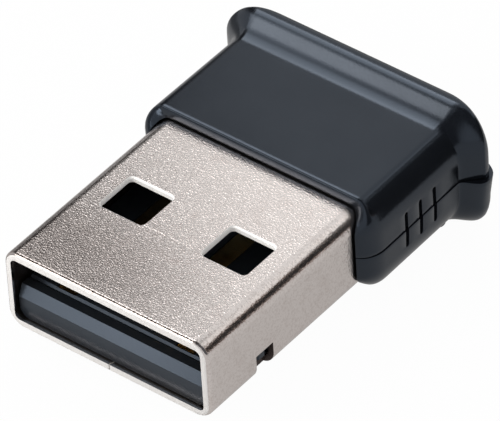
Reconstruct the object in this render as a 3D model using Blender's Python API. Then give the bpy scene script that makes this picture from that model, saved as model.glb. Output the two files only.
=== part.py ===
"""Small wireless USB adapter: a folded sheet plug in a two-part moulded housing with a flared rear lip.

Design axes: X across the plug, Y from the plug's mouth towards the lip, Z up, with the plug's own axis
at X = Z = 0. The root empty then puts the middle of the footprint at the origin and the lowest point of
the lip at Z = 0. Lengths are in metres, written as millimetres times MM.
"""

import math

import bmesh
import bpy

MM = 0.001

# Clearances
FIT_GAP = 0.05 * MM
SOLDER_GAP = 0.03 * MM
PARTING_GAP = 0.05 * MM
EMBED = 0.25 * MM

# Plug shell
PLUG_WIDTH = 12.0 * MM
PLUG_HEIGHT = 4.5 * MM
SHEET_THICKNESS = 0.3 * MM
BEND_RADIUS = 0.85 * MM
PLUG_REACH = 11.5 * MM
SHELL_INSERTION = 1.9 * MM
MOUTH_TUCK = 0.12 * MM
MOUTH_SIDE_TUCK = 0.26 * MM
MOUTH_BEVEL = 0.2 * MM
MOUTH_LEAD_IN = 0.45 * MM
WINDOW_WIDTH = 2.65 * MM
WINDOW_LENGTH = 2.4 * MM
WINDOW_FRONT = 4.95 * MM
WINDOW_OFFSET = 3.0 * MM
WINDOW_CORNER = 0.25 * MM
NOTCH_FRONT = 3.4 * MM
NOTCH_LENGTH = 1.35 * MM
NOTCH_HEIGHT = 1.25 * MM
NOTCH_DEPTH = 0.95 * MM
SEAM_GAP = 0.06 * MM
SEAM_KEY_FRONT = 7.6 * MM
SEAM_KEY_LENGTH = 2.0 * MM
SEAM_KEY_REACH = 0.9 * MM
SEAM_KEY_FLARE = 0.25 * MM
CATCH_OFFSET = 3.2 * MM
CATCH_WIDTH = 1.6 * MM
CATCH_LENGTH = 0.7 * MM
CATCH_FROM_END = 0.6 * MM
CATCH_DEPTH = 0.2 * MM

# Plug insulator
TONGUE_THICKNESS = 1.8 * MM
TONGUE_SIDE_GAP = 0.15 * MM
TONGUE_SETBACK = 0.35 * MM
TONGUE_CHAMFER_DEPTH = 0.28 * MM
TONGUE_CHAMFER_DROP = 0.62 * MM
BASE_LENGTH = 2.6 * MM
INSULATOR_OVERHANG = 0.35 * MM
KEY_BUMP_LENGTH = 0.8 * MM
KEY_BUMP_REACH = 0.25 * MM
KEY_BUMP_HEIGHT = 0.45 * MM

# Contacts
CONTACT_WIDTH = 1.0 * MM
CONTACT_THICKNESS = 0.2 * MM
CONTACT_INNER = 1.0 * MM
CONTACT_OUTER = 3.5 * MM
CONTACT_RECESS = 0.03 * MM
SUPPLY_CONTACT_FRONT = 1.4 * MM
DATA_CONTACT_SETBACK = 1.0 * MM
CONTACT_HOOK_DROP = 0.4 * MM
CONTACT_FOOT_DROP = 0.2 * MM
CONTACT_FOOT_LENGTH = 1.1 * MM
CONTACT_STEP_LENGTH = 0.3 * MM

# Housing
SIDE_WALL = 0.8 * MM
TOP_WALL = 0.55 * MM
REAR_WALL = 0.8 * MM
HOUSING_LENGTH = 8.5 * MM
PANEL_INSET = 1.0 * MM
CORNER_REACH = 1.5 * MM
SIDE_FLAT = 2.0 * MM
BODY_TAPER = 0.06 * MM
CHEEK_REACH = 0.8 * MM
CHEEK_NOSE = 1.3 * MM
PANEL_NOSE = 0.3 * MM
UNDER_NOSE = 1.2 * MM
LIP_FLARE = 0.81 * MM
LIP_RISE = 0.62 * MM
LIP_CORNER = 1.9 * MM
LIP_SWEEP = 1.6 * MM
LIP_SIDE_DELAY = 0.35 * MM
RIM_THICKNESS = 0.28 * MM
RIM_SIDE_LEAD = 0.45 * MM
REAR_CROWN = 0.8 * MM
REAR_SIDE_FLAT = 0.5 * MM
LOWER_STEP_BODY = 0.04 * MM
LOWER_STEP_LIP = 0.2 * MM
LOWER_TRIM = 0.1 * MM
GROOVE_COUNT = 3
GROOVE_WIDTH = 0.18 * MM
GROOVE_HEIGHT = 2.1 * MM
GROOVE_DEPTH = 0.2 * MM
GROOVE_FIRST = 2.2 * MM
GROOVE_LAST = 1.45 * MM
LAP_THICKNESS = 0.3 * MM
LAP_HEIGHT = 0.35 * MM
LAP_FRONT = 1.3 * MM
STOP_RIB_LENGTH = 0.6 * MM
STOP_RIB_START = 0.45 * MM
CLAMP_RIB_LENGTH = 0.6 * MM
CLAMP_RIB_BITE = 0.3 * MM
CLAMP_RIB_REAR = 2.0 * MM
RIB_EMBED = 0.15 * MM
PILLAR_RADIUS = 0.5 * MM
PILLAR_REAR = 1.25 * MM
PILLAR_RISE = 0.3 * MM
PILLAR_INSET = 0.3 * MM

# How full the housing's curves are: 2 is an ellipse, more is squarer
CHEEK_FULLNESS = 2.0
PANEL_FULLNESS = 6.0
UNDER_FULLNESS = 2.5
CROWN_WIDTH_FULLNESS = 4.0
CROWN_DEPTH_FULLNESS = 2.2

# How the lip leaves the body: the sides open at once and slow down, the panels rise along a ramp
UPPER_FLARE_SPEED = 1.1
LOWER_FLARE_SPEED = 2.7
SIDE_EASE = 0.35
RAMP_FOOT = 0.5
RAMP_SHOULDER = 0.25

# Circuit board and its parts
BOARD_THICKNESS = 0.6 * MM
BOARD_SIDE_GAP = 0.3 * MM
BOARD_REAR_GAP = 0.2 * MM
BOARD_CORNER = 0.4 * MM
PART_SPACING = 0.25 * MM
RADIO_OFFSET = 1.1 * MM
RADIO_CHIP_SIZE = 3.0 * MM
RADIO_CHIP_HEIGHT = 0.85 * MM
RADIO_PAD_COUNT = 6
RADIO_PAD_WIDTH = 0.22 * MM
RADIO_PAD_HEIGHT = 0.2 * MM
RADIO_PAD_PROUD = 0.06 * MM
PIN_MARK_RADIUS = 0.18 * MM
PIN_MARK_DEPTH = 0.06 * MM
CRYSTAL_LENGTH = 2.0 * MM
CRYSTAL_WIDTH = 1.6 * MM
CRYSTAL_BASE_HEIGHT = 0.4 * MM
CRYSTAL_LID_HEIGHT = 0.2 * MM
CRYSTAL_LEDGE = 0.12 * MM
ANTENNA_LENGTH = 3.2 * MM
ANTENNA_WIDTH = 1.3 * MM
ANTENNA_HEIGHT = 1.1 * MM
ANTENNA_TERMINAL = 0.45 * MM
FILTER_LENGTH = 1.6 * MM
FILTER_WIDTH = 0.8 * MM
FILTER_HEIGHT = 0.6 * MM
FILTER_TERMINAL = 0.3 * MM
CAPACITOR_COUNT = 6
RESISTOR_COUNT = 4
PASSIVE_LENGTH = 1.0 * MM
PASSIVE_WIDTH = 0.5 * MM
CAPACITOR_HEIGHT = 0.5 * MM
RESISTOR_HEIGHT = 0.35 * MM
BEAD_HEIGHT = 0.45 * MM
PASSIVE_TERMINAL = 0.22 * MM
TERMINAL_PROUD = 0.03 * MM
PACKAGE_LENGTH = 2.9 * MM
PACKAGE_WIDTH = 1.6 * MM
PACKAGE_HEIGHT = 0.75 * MM
MEMORY_LEAD_COUNT = 4
MEMORY_LEAD_PITCH = 0.65 * MM
REGULATOR_LEAD_COUNT = 3
REGULATOR_LEAD_PITCH = 0.95 * MM
LEAD_WIDTH = 0.3 * MM
LEAD_THICKNESS = 0.13 * MM
LEAD_REACH = 0.6 * MM
LEAD_FOOT = 0.3 * MM
LEAD_STANDOFF = 0.1 * MM

# Worked out: plug
INNER_WIDTH = PLUG_WIDTH - 2 * SHEET_THICKNESS
INNER_HEIGHT = PLUG_HEIGHT - 2 * SHEET_THICKNESS
INNER_RADIUS = max(BEND_RADIUS - SHEET_THICKNESS, 0.1 * SHEET_THICKNESS)
SHELL_LENGTH = PLUG_REACH + SHELL_INSERTION
INSULATOR_FLOOR = -INNER_HEIGHT / 2 + FIT_GAP
TONGUE_TOP = INSULATOR_FLOOR + TONGUE_THICKNESS
INSULATOR_REAR = PLUG_REACH + INSULATOR_OVERHANG
BASE_FRONT = INSULATOR_REAR - BASE_LENGTH
CONTACT_TOP = TONGUE_TOP - CONTACT_RECESS
CONTACT_MIDDLE = CONTACT_TOP - CONTACT_THICKNESS / 2
FOOT_MIDDLE = CONTACT_MIDDLE - CONTACT_FOOT_DROP
FOOT_FRONT = INSULATOR_REAR + CONTACT_STEP_LENGTH + CONTACT_THICKNESS
FOOT_REAR = FOOT_FRONT + CONTACT_FOOT_LENGTH
CATCH_MIDDLE = SHELL_LENGTH - CATCH_FROM_END - CATCH_LENGTH / 2

# Worked out: housing
BORE_WIDTH = PLUG_WIDTH + 2 * FIT_GAP
BORE_HEIGHT = PLUG_HEIGHT + 2 * FIT_GAP
BORE_RADIUS = BEND_RADIUS + FIT_GAP
BODY_HALF_WIDTH = BORE_WIDTH / 2 + SIDE_WALL
BODY_HALF_HEIGHT = BORE_HEIGHT / 2 + TOP_WALL
PANEL_FRONT = PLUG_REACH
HOUSING_REAR = PANEL_FRONT + HOUSING_LENGTH
RIM_REAR = HOUSING_REAR - REAR_CROWN
RIM_FRONT = RIM_REAR - RIM_THICKNESS
SWEEP_FRONT = RIM_FRONT - LIP_SWEEP
CAVITY_REAR = RIM_REAR - REAR_WALL
LIP_HALF_WIDTH = BODY_HALF_WIDTH + LIP_FLARE
LIP_HALF_HEIGHT = BODY_HALF_HEIGHT + LIP_RISE
AXIS_HEIGHT = LIP_HALF_HEIGHT
FOOTPRINT_MIDDLE = (HOUSING_REAR + LOWER_STEP_LIP) / 2
BODY_CREASE = math.acos(1 - PANEL_INSET / CORNER_REACH) if PANEL_INSET < CORNER_REACH else math.pi / 2
REAR_CORNER = LIP_HALF_HEIGHT - REAR_SIDE_FLAT / 2
GROOVE_Y_FIRST = PANEL_FRONT + GROOVE_FIRST
GROOVE_Y_LAST = SWEEP_FRONT - GROOVE_LAST
SPLIT_BOX_HALF = 2 * HOUSING_REAR

# Worked out: board
BOARD_TOP = FOOT_MIDDLE - CONTACT_THICKNESS / 2 - SOLDER_GAP
BOARD_UNDER = BOARD_TOP - BOARD_THICKNESS
BOARD_HALF_WIDTH = INNER_WIDTH / 2 - BOARD_SIDE_GAP
BOARD_FRONT = INSULATOR_REAR + 2 * FIT_GAP
BOARD_REAR = CAVITY_REAR - BOARD_REAR_GAP
PILLAR_X = BORE_WIDTH / 2 - PILLAR_INSET
PILLAR_Y = CAVITY_REAR - PILLAR_REAR
CLAMP_RIB_FRONT = CAVITY_REAR - CLAMP_RIB_REAR - CLAMP_RIB_LENGTH
PARTS_FRONT = max(FOOT_REAR, SHELL_LENGTH) + PART_SPACING / 2

# Facets
BEND_STEPS = 6
SIDE_STEPS = 3
CORNER_STEPS = 8
TOP_STEPS = 5
NOSE_STEPS = 6
BODY_STEPS = 3
SWEEP_STEPS = 9
CROWN_STEPS = 7
ROUND_STEPS = 16

ROOT = None


def clear_scene():
    """Removes every object that the file opened with."""
    for item in list(bpy.data.objects):
        bpy.data.objects.remove(item, do_unlink=True)


def finish(name, colour, roughness, metallic):
    """A plain Principled finish."""
    material = bpy.data.materials.new(name)
    material.use_nodes = True
    shader = material.node_tree.nodes["Principled BSDF"]
    shader.inputs["Base Color"].default_value = (*colour, 1.0)
    shader.inputs["Roughness"].default_value = roughness
    shader.inputs["Metallic"].default_value = metallic
    return material


def add_object(name, mesh, material=None, place=(0.0, 0.0, 0.0), turn=0.0):
    """Links a mesh as a named object under the root, smooth over its gentle edges."""
    item = bpy.data.objects.new(name, mesh)
    bpy.context.scene.collection.objects.link(item)
    item.parent = ROOT
    item.location = place
    item.rotation_euler = (0.0, 0.0, turn)
    if material is not None:
        mesh.materials.append(material)
    mesh.shade_smooth()
    mesh.set_sharp_from_angle(angle=math.radians(35.0))
    return item


def add_cutter(name, mesh, place=(0.0, 0.0, 0.0)):
    """Links a mesh as a wire guide that only Booleans use."""
    item = add_object(name, mesh, place=place)
    item.hide_render = True
    item.display_type = "WIRE"
    return item


def boolean(target, tool, operation):
    """Adds an exact Boolean of a guide to an object."""
    modifier = target.modifiers.new(tool.name, "BOOLEAN")
    modifier.operation = operation
    modifier.solver = "EXACT"
    modifier.object = tool


def mesh_from(shape, name):
    """Turns a bmesh into a mesh whose faces point out."""
    bmesh.ops.recalc_face_normals(shape, faces=shape.faces)
    mesh = bpy.data.meshes.new(name)
    shape.to_mesh(mesh)
    shape.free()
    return mesh


def add_loft(shape, rings, closed=False):
    """Joins rings of equal length with quads; open lofts are capped, closed ones run back to the first."""
    rows = [[shape.verts.new(point) for point in ring] for ring in rings]
    count = len(rows[0])
    pairs = list(zip(rows, rows[1:] + rows[:1])) if closed else list(zip(rows, rows[1:]))
    for one, two in pairs:
        for i in range(count):
            j = (i + 1) % count
            shape.faces.new((one[i], one[j], two[j], two[i]))
    if not closed:
        shape.faces.new(rows[0])
        shape.faces.new(rows[-1])


def loft(name, rings, closed=False):
    """One loft as a mesh."""
    shape = bmesh.new()
    add_loft(shape, rings, closed)
    return mesh_from(shape, name)


def prisms(name, outlines, axis, low, high):
    """Extrudes flat outlines along an axis as separate solids of one mesh."""
    shape = bmesh.new()
    for outline in outlines:
        add_loft(shape, [[along(axis, level, a, b) for a, b in outline] for level in (low, high)])
    return mesh_from(shape, name)


def along(axis, level, a, b):
    """A point from its level on an axis and its two other coordinates in X, Y, Z order."""
    point = [a, b]
    point.insert("XYZ".index(axis), level)
    return tuple(point)


def rectangle(low, high):
    """Four corners of a rectangle between two corners."""
    return [(low[0], low[1]), (high[0], low[1]), (high[0], high[1]), (low[0], high[1])]


def mirrored(outline):
    """An outline mirrored in X."""
    return [(-a, b) for a, b in reversed(outline)]


def arc(centre, radius, start, end, steps):
    """Points on an arc, both ends included, angles in degrees."""
    points = []
    for i in range(steps + 1):
        angle = math.radians(start + (end - start) * i / steps)
        points.append((centre[0] + radius * math.cos(angle), centre[1] + radius * math.sin(angle)))
    return points


def rounded_rectangle(half_width, half_height, radius, steps=BEND_STEPS):
    """Points round a rectangle with round corners, from the right side upwards."""
    radius = min(radius, 0.98 * half_width, 0.98 * half_height)
    x = half_width - radius
    y = half_height - radius
    points = arc((x, y), radius, 0, 90, steps)
    points += arc((-x, y), radius, 90, 180, steps)
    points += arc((-x, -y), radius, 180, 270, steps)
    points += arc((x, -y), radius, 270, 360, steps)
    return points


def ribbon(path, width):
    """The outline of a flat path of even width, with mitred corners."""
    left = []
    right = []
    for i, (a, b) in enumerate(path):
        before = path[max(i - 1, 0)]
        after = path[min(i + 1, len(path) - 1)]
        first = direction(before, (a, b)) if i > 0 else direction((a, b), after)
        second = direction((a, b), after) if i < len(path) - 1 else first
        normal = (-(first[1] + second[1]), first[0] + second[0])
        size = math.hypot(*normal)
        normal = (normal[0] / size, normal[1] / size)
        reach = width / 2 / (normal[0] * -first[1] + normal[1] * first[0])
        left.append((a + normal[0] * reach, b + normal[1] * reach))
        right.append((a - normal[0] * reach, b - normal[1] * reach))
    return left + right[::-1]


def direction(start, end):
    """The unit vector from one flat point to another."""
    length = math.dist(start, end)
    return ((end[0] - start[0]) / length, (end[1] - start[1]) / length)


def smooth(t):
    """Eases from 0 to 1 with level ends."""
    return t * t * (3 - 2 * t)


def mix(a, b, t):
    """Runs from a to b as t runs from 0 to 1."""
    return a + (b - a) * t


# Plug shell


def shell_ring(y, width, height, radius):
    """One rounded section of the sheet tube."""
    return [(x, y, z) for x, z in rounded_rectangle(width / 2, height / 2, radius)]


def seam_path():
    """The butt joint along the middle of the underside, with one dovetail key."""
    front = SEAM_KEY_FRONT
    rear = SEAM_KEY_FRONT + SEAM_KEY_LENGTH
    return [
        (0.0, -PLUG_HEIGHT),
        (0.0, front),
        (SEAM_KEY_REACH, front - SEAM_KEY_FLARE),
        (SEAM_KEY_REACH, rear + SEAM_KEY_FLARE),
        (0.0, rear),
        (0.0, SHELL_LENGTH + PLUG_HEIGHT),
    ]


def window_outlines(width, length, offset, front, corner):
    """Two windows, left and right of the middle, seen from above."""
    outline = []
    for x, y in rounded_rectangle(width / 2, length / 2, corner, 3):
        outline.append((x + offset, y + front + length / 2))
    return [outline, mirrored(outline)]


def build_plug_shell():
    """The folded sheet: bent-in mouth, windows, side notches, catch windows and the dovetailed seam."""
    tucked = 2 * MOUTH_TUCK
    mouth_width = PLUG_WIDTH - 2 * MOUTH_SIDE_TUCK
    rings = [
        shell_ring(0.0, mouth_width, PLUG_HEIGHT - tucked, BEND_RADIUS - MOUTH_TUCK),
        shell_ring(MOUTH_BEVEL, PLUG_WIDTH, PLUG_HEIGHT, BEND_RADIUS),
        shell_ring(SHELL_LENGTH, PLUG_WIDTH, PLUG_HEIGHT, BEND_RADIUS),
        shell_ring(SHELL_LENGTH, INNER_WIDTH, INNER_HEIGHT, INNER_RADIUS),
        shell_ring(MOUTH_LEAD_IN, INNER_WIDTH, INNER_HEIGHT, INNER_RADIUS),
        shell_ring(0.0, INNER_WIDTH - tucked, INNER_HEIGHT - tucked, INNER_RADIUS - tucked),
    ]
    nickel = finish("nickel_plate", (0.72, 0.70, 0.68), 0.28, 1.0)
    shell = add_object("plug_shell", loft("plug_shell", rings, closed=True), nickel)

    windows = window_outlines(WINDOW_WIDTH, WINDOW_LENGTH, WINDOW_OFFSET, WINDOW_FRONT, WINDOW_CORNER)
    through = prisms("window_cutter", windows, "Z", -PLUG_HEIGHT, PLUG_HEIGHT)
    boolean(shell, add_cutter("window_cutter", through), "DIFFERENCE")

    catches = window_outlines(
        CATCH_WIDTH, CATCH_LENGTH, CATCH_OFFSET, CATCH_MIDDLE - CATCH_LENGTH / 2, FIT_GAP
    )
    through = prisms("catch_cutter", catches, "Z", -PLUG_HEIGHT, PLUG_HEIGHT)
    boolean(shell, add_cutter("catch_cutter", through), "DIFFERENCE")

    side = PLUG_WIDTH / 2
    floor = -PLUG_HEIGHT / 2
    notch = rectangle((side - NOTCH_DEPTH, floor - PLUG_HEIGHT), (side + NOTCH_DEPTH, floor + NOTCH_HEIGHT))
    notches = prisms(
        "notch_cutter", [notch, mirrored(notch)], "Y", NOTCH_FRONT, NOTCH_FRONT + NOTCH_LENGTH
    )
    boolean(shell, add_cutter("notch_cutter", notches), "DIFFERENCE")

    seam = prisms(
        "seam_cutter",
        [ribbon(seam_path(), SEAM_GAP)],
        "Z",
        floor - SHEET_THICKNESS,
        floor + 2 * SHEET_THICKNESS,
    )
    boolean(shell, add_cutter("seam_cutter", seam), "DIFFERENCE")


# Plug insulator


def insulator_ring(y, half_width, top):
    """A section with round lower corners that follow the sheet's bends and square upper ones."""
    radius = INNER_RADIUS
    x = half_width - radius
    z = INSULATOR_FLOOR + radius
    lower = arc((-x, z), radius, 180, 270, 4) + arc((x, z), radius, 270, 360, 4)
    return [(a, y, b) for a, b in lower + [(half_width, top), (-half_width, top)]]


def build_plug_insulator():
    """The moulded tongue with its contact grooves, the base behind it and a bump in each side notch."""
    front = TONGUE_SETBACK
    tongue_half = INNER_WIDTH / 2 - TONGUE_SIDE_GAP
    chamfer_rear = front + TONGUE_CHAMFER_DEPTH
    rings = [
        insulator_ring(front, tongue_half, TONGUE_TOP - TONGUE_CHAMFER_DROP),
        insulator_ring(chamfer_rear, tongue_half, TONGUE_TOP),
        insulator_ring(BASE_FRONT + BASE_LENGTH / 2, tongue_half, TONGUE_TOP),
    ]
    plastic = finish("insulator_black", (0.02, 0.022, 0.028), 0.42, 0.0)
    insulator = add_object("plug_insulator", loft("plug_insulator", rings), plastic)

    section = rounded_rectangle(
        INNER_WIDTH / 2 - FIT_GAP, INNER_HEIGHT / 2 - FIT_GAP, INNER_RADIUS, 4
    )
    base = loft("base_block", [[(x, y, z) for x, z in section] for y in (BASE_FRONT, INSULATOR_REAR)])
    boolean(insulator, add_cutter("base_block", base), "UNION")

    middle = NOTCH_FRONT + NOTCH_LENGTH / 2
    bump_low = INSULATOR_FLOOR + INNER_RADIUS
    bump_x = tongue_half + KEY_BUMP_REACH
    bump = [
        (tongue_half - EMBED, middle - KEY_BUMP_LENGTH / 2),
        (tongue_half, middle - KEY_BUMP_LENGTH / 2),
        (bump_x, middle - KEY_BUMP_LENGTH / 4),
        (bump_x, middle + KEY_BUMP_LENGTH / 4),
        (tongue_half, middle + KEY_BUMP_LENGTH / 2),
        (tongue_half - EMBED, middle + KEY_BUMP_LENGTH / 2),
    ]
    bumps = prisms("key_bumps", [bump, mirrored(bump)], "Z", bump_low, bump_low + KEY_BUMP_HEIGHT)
    boolean(insulator, add_cutter("key_bumps", bumps), "UNION")

    shape = bmesh.new()
    for x, contact_front in contact_places():
        low_x = x - CONTACT_WIDTH / 2 - FIT_GAP
        high_x = x + CONTACT_WIDTH / 2 + FIT_GAP
        outline = groove_outline(contact_front)
        add_loft(shape, [[(level, y, z) for y, z in outline] for level in (low_x, high_x)])
    grooves = add_cutter("groove_cutter", mesh_from(shape, "groove_cutter"))
    boolean(insulator, grooves, "DIFFERENCE")


def groove_outline(contact_front):
    """Side view of the room that one contact needs in the tongue and through the base."""
    under = CONTACT_TOP - CONTACT_THICKNESS - FIT_GAP
    hook_under = CONTACT_MIDDLE - CONTACT_HOOK_DROP - CONTACT_THICKNESS / 2 - FIT_GAP
    open_top = TONGUE_TOP + CONTACT_THICKNESS
    hook_rear = contact_front + CONTACT_THICKNESS + FIT_GAP
    rear = INSULATOR_REAR + BASE_LENGTH
    return [
        (contact_front - FIT_GAP, open_top),
        (contact_front - FIT_GAP, hook_under),
        (hook_rear, hook_under),
        (hook_rear, under),
        (rear, under),
        (rear, CONTACT_TOP + FIT_GAP),
        (BASE_FRONT + CONTACT_THICKNESS, CONTACT_TOP + FIT_GAP),
        (BASE_FRONT + CONTACT_THICKNESS, open_top),
    ]


# Contacts


def contact_places():
    """Each contact's place across the plug and where it starts: the outer two reach further forward."""
    data_front = SUPPLY_CONTACT_FRONT + DATA_CONTACT_SETBACK
    return [
        (-CONTACT_OUTER, SUPPLY_CONTACT_FRONT),
        (-CONTACT_INNER, data_front),
        (CONTACT_INNER, data_front),
        (CONTACT_OUTER, SUPPLY_CONTACT_FRONT),
    ]


def build_contacts():
    """Four bent strips: a hook in the tongue, a long flat run, a step and a foot on the board."""
    names = ["contact_supply", "contact_data_minus", "contact_data_plus", "contact_ground"]
    gold = finish("contact_gold", (0.83, 0.62, 0.28), 0.22, 1.0)
    half = CONTACT_THICKNESS / 2
    for name, (x, front) in zip(names, contact_places()):
        path = [
            (front + half, CONTACT_MIDDLE - CONTACT_HOOK_DROP),
            (front + half, CONTACT_MIDDLE),
            (INSULATOR_REAR + half, CONTACT_MIDDLE),
            (FOOT_FRONT - half, FOOT_MIDDLE),
            (FOOT_REAR, FOOT_MIDDLE),
        ]
        outline = ribbon(path, CONTACT_THICKNESS)
        mesh = prisms(name, [outline], "X", -CONTACT_WIDTH / 2, CONTACT_WIDTH / 2)
        add_object(name, mesh, gold, (x, 0.0, 0.0))


# Housing


def body_section(widen, lift, taper, lower, corner=LIP_CORNER):
    """One quarter section of the skin, from the parting line at the side up to the middle of the panel.

    widen and lift run from 0 on the body to 1 at the rim of the lip, for its width and its height. taper
    runs from 0 at the front to 1 at the neck. The lower half is a little shallower on the body and stands
    out at the parting line. corner is the lip's corner reach.
    """
    step = mix(LOWER_STEP_BODY, LOWER_STEP_LIP, widen) if lower else 0.0
    trim = LOWER_TRIM if lower else 0.0
    half_width = mix(BODY_HALF_WIDTH - BODY_TAPER * taper, LIP_HALF_WIDTH, widen)
    half_height = mix(BODY_HALF_HEIGHT - trim, LIP_HALF_HEIGHT, lift)
    reach = mix(CORNER_REACH, corner, widen)
    crease = mix(BODY_CREASE, math.pi / 2, widen)
    flat = mix(SIDE_FLAT / 2, LIP_HALF_HEIGHT - corner, widen)
    drop = (half_height - flat) / math.sin(crease)
    points = []
    for i in range(SIDE_STEPS):
        t = i / SIDE_STEPS
        points.append((half_width + step * (1 - t), flat * t))
    for i in range(CORNER_STEPS):
        angle = crease * i / CORNER_STEPS
        points.append((half_width - reach * (1 - math.cos(angle)), flat + drop * math.sin(angle)))
    panel_edge = half_width - reach * (1 - math.cos(crease))
    for i in range(TOP_STEPS + 1):
        points.append((panel_edge * (1 - i / TOP_STEPS), half_height))
    return points


def bore_section():
    """The quarter section of the nose's starting line, just inside the bore, with the same point count."""
    inset = EMBED
    radius = BORE_RADIUS
    x = BORE_WIDTH / 2 - radius
    z = BORE_HEIGHT / 2 - radius
    points = [(x + radius - inset, z * i / SIDE_STEPS) for i in range(SIDE_STEPS)]
    points += arc((x, z), radius - inset, 0, 90, CORNER_STEPS)[:-1]
    points += [(x * (1 - i / TOP_STEPS), z + radius - inset) for i in range(TOP_STEPS + 1)]
    return points


def topness():
    """For each quarter point, 0 on the side and 1 on the panel, eased over the corner."""
    values = [0.0] * SIDE_STEPS
    values += [smooth(i / CORNER_STEPS) for i in range(CORNER_STEPS)]
    values += [1.0] * (TOP_STEPS + 1)
    return values


def whole_ring(quarter):
    """Repeats a quarter's (x, y, z) points in the other three quarters."""
    ring = quarter[:-1]
    ring += [(-x, y, z) for x, y, z in reversed(quarter)][:-1]
    ring += [(-x, y, -z) for x, y, z in quarter][:-1]
    ring += [(x, y, -z) for x, y, z in reversed(quarter)][:-1]
    return ring


def ramp(t):
    """Runs from 0 to 1 over a long hollow foot, a straight slope and a shorter round shoulder."""
    slope = 1 / (1 - RAMP_FOOT / 2 - RAMP_SHOULDER / 2)
    if t < RAMP_FOOT:
        return slope * t * t / (2 * RAMP_FOOT)
    if t > 1 - RAMP_SHOULDER:
        return 1 - slope * (1 - t) ** 2 / (2 * RAMP_SHOULDER)
    return slope * (t - RAMP_FOOT / 2)


def opening(t, speed):
    """Runs from 0 to 1 with a short eased start, then the faster at first the higher the speed."""
    if t < SIDE_EASE:
        eased = t * t / (2 * SIDE_EASE)
    else:
        eased = t - SIDE_EASE / 2
    return 1 - (1 - eased / (1 - SIDE_EASE / 2)) ** speed


def nose_front(top):
    """Where the nose starts at a quarter point, the cheeks reaching further forward than the panels."""
    return PANEL_FRONT - CHEEK_REACH * (1 - top)


def sweep_front(top):
    """Where the lip's sweep starts at a quarter point, later at the sides than on the panels."""
    return SWEEP_FRONT + LIP_SIDE_DELAY * (1 - top)


def rear_peak(lower):
    """The furthest point of a half's rear face, the lower half standing out past the upper one."""
    return HOUSING_REAR + (LOWER_STEP_LIP if lower else 0.0)


def nose_rings(lower, tops):
    """The rings round the nose, from just inside the bore to the front of the body."""
    nose = UNDER_NOSE if lower else PANEL_NOSE
    fullness = UNDER_FULLNESS if lower else PANEL_FULLNESS
    start = bore_section()
    front_body = body_section(0.0, 0.0, 0.0, lower)
    rings = []
    for row in range(NOSE_STEPS + 1):
        angle = math.pi / 2 * row / NOSE_STEPS
        quarter = []
        for (bx, bz), (ox, oz), top in zip(start, front_body, tops):
            power = 2 / mix(CHEEK_FULLNESS, fullness, top)
            out = math.sin(angle) ** power
            back = (1 - max(math.cos(angle), 0.0) ** power) * mix(CHEEK_NOSE, nose, top)
            quarter.append((mix(bx, ox, out), nose_front(top) + back, mix(bz, oz, out)))
        rings.append(whole_ring(quarter))
    return rings


def body_rings(lower, tops):
    """The rings along the body, up to where the lip's sweep starts."""
    nose = UNDER_NOSE if lower else PANEL_NOSE
    rings = []
    for row in range(1, BODY_STEPS + 1):
        t = row / BODY_STEPS
        section = body_section(0.0, 0.0, t, lower)
        quarter = []
        for (x, z), top in zip(section, tops):
            nose_rear = nose_front(top) + mix(CHEEK_NOSE, nose, top)
            quarter.append((x, mix(nose_rear, sweep_front(top), t), z))
        rings.append(whole_ring(quarter))
    return rings


def lip_rings(lower, tops):
    """The rings of the sweep, a straight ramp above and a quick flare at the sides, and of the rim."""
    speed = LOWER_FLARE_SPEED if lower else UPPER_FLARE_SPEED
    rings = []
    for row in range(1, SWEEP_STEPS + 1):
        t = row / SWEEP_STEPS
        section = body_section(opening(t, speed), ramp(t), 1.0, lower)
        quarter = []
        for (x, z), top in zip(section, tops):
            rim_front = RIM_FRONT - RIM_SIDE_LEAD * (1 - top)
            quarter.append((x, mix(sweep_front(top), rim_front, t), z))
        rings.append(whole_ring(quarter))
    return rings


def crown_rings(lower, tops):
    """The rings from the rim's rear edge over the bowed rear face, whose corners are rounder."""
    rings = []
    for row in range(CROWN_STEPS):
        angle = math.pi / 2 * row / CROWN_STEPS
        section = body_section(1.0, 1.0, 1.0, lower, mix(LIP_CORNER, REAR_CORNER, math.sin(angle)))
        shrink = math.cos(angle) ** (2 / CROWN_WIDTH_FULLNESS)
        depth = math.sin(angle) ** (2 / CROWN_DEPTH_FULLNESS)
        quarter = []
        for (x, z), top in zip(section, tops):
            rim_rear = RIM_REAR - RIM_SIDE_LEAD * (1 - top)
            quarter.append((x * shrink, mix(rim_rear, rear_peak(lower), depth), z * shrink))
        rings.append(whole_ring(quarter))
    return rings


def skin_mesh(name, lower):
    """The whole outer skin as a closed solid, both ends drawn to a point on the axis."""
    tops = topness()
    shape = bmesh.new()
    rings = nose_rings(lower, tops) + body_rings(lower, tops)
    rings += lip_rings(lower, tops) + crown_rings(lower, tops)
    rows = [[shape.verts.new(point) for point in ring] for ring in rings]
    count = len(rows[0])
    for one, two in zip(rows, rows[1:]):
        for i in range(count):
            j = (i + 1) % count
            shape.faces.new((one[i], one[j], two[j], two[i]))
    front = shape.verts.new((0.0, PANEL_FRONT - CHEEK_REACH, 0.0))
    rear = shape.verts.new((0.0, rear_peak(lower), 0.0))
    for row, tip in ((rows[0], front), (rows[-1], rear)):
        for i in range(count):
            shape.faces.new((row[i], row[(i + 1) % count], tip))
    return mesh_from(shape, name)


def lap_outline(gap):
    """Plan of the lap joint: a U inside the walls, reaching in past the cavity's wall."""
    inner = BORE_WIDTH / 2 - EMBED
    outer = BORE_WIDTH / 2 + LAP_THICKNESS + gap
    front = PANEL_FRONT + LAP_FRONT - gap
    rear = CAVITY_REAR + LAP_THICKNESS + gap
    return [
        (outer, front),
        (outer, rear),
        (-outer, rear),
        (-outer, front),
        (-inner, front),
        (-inner, CAVITY_REAR - EMBED),
        (inner, CAVITY_REAR - EMBED),
        (inner, front),
    ]


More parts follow.
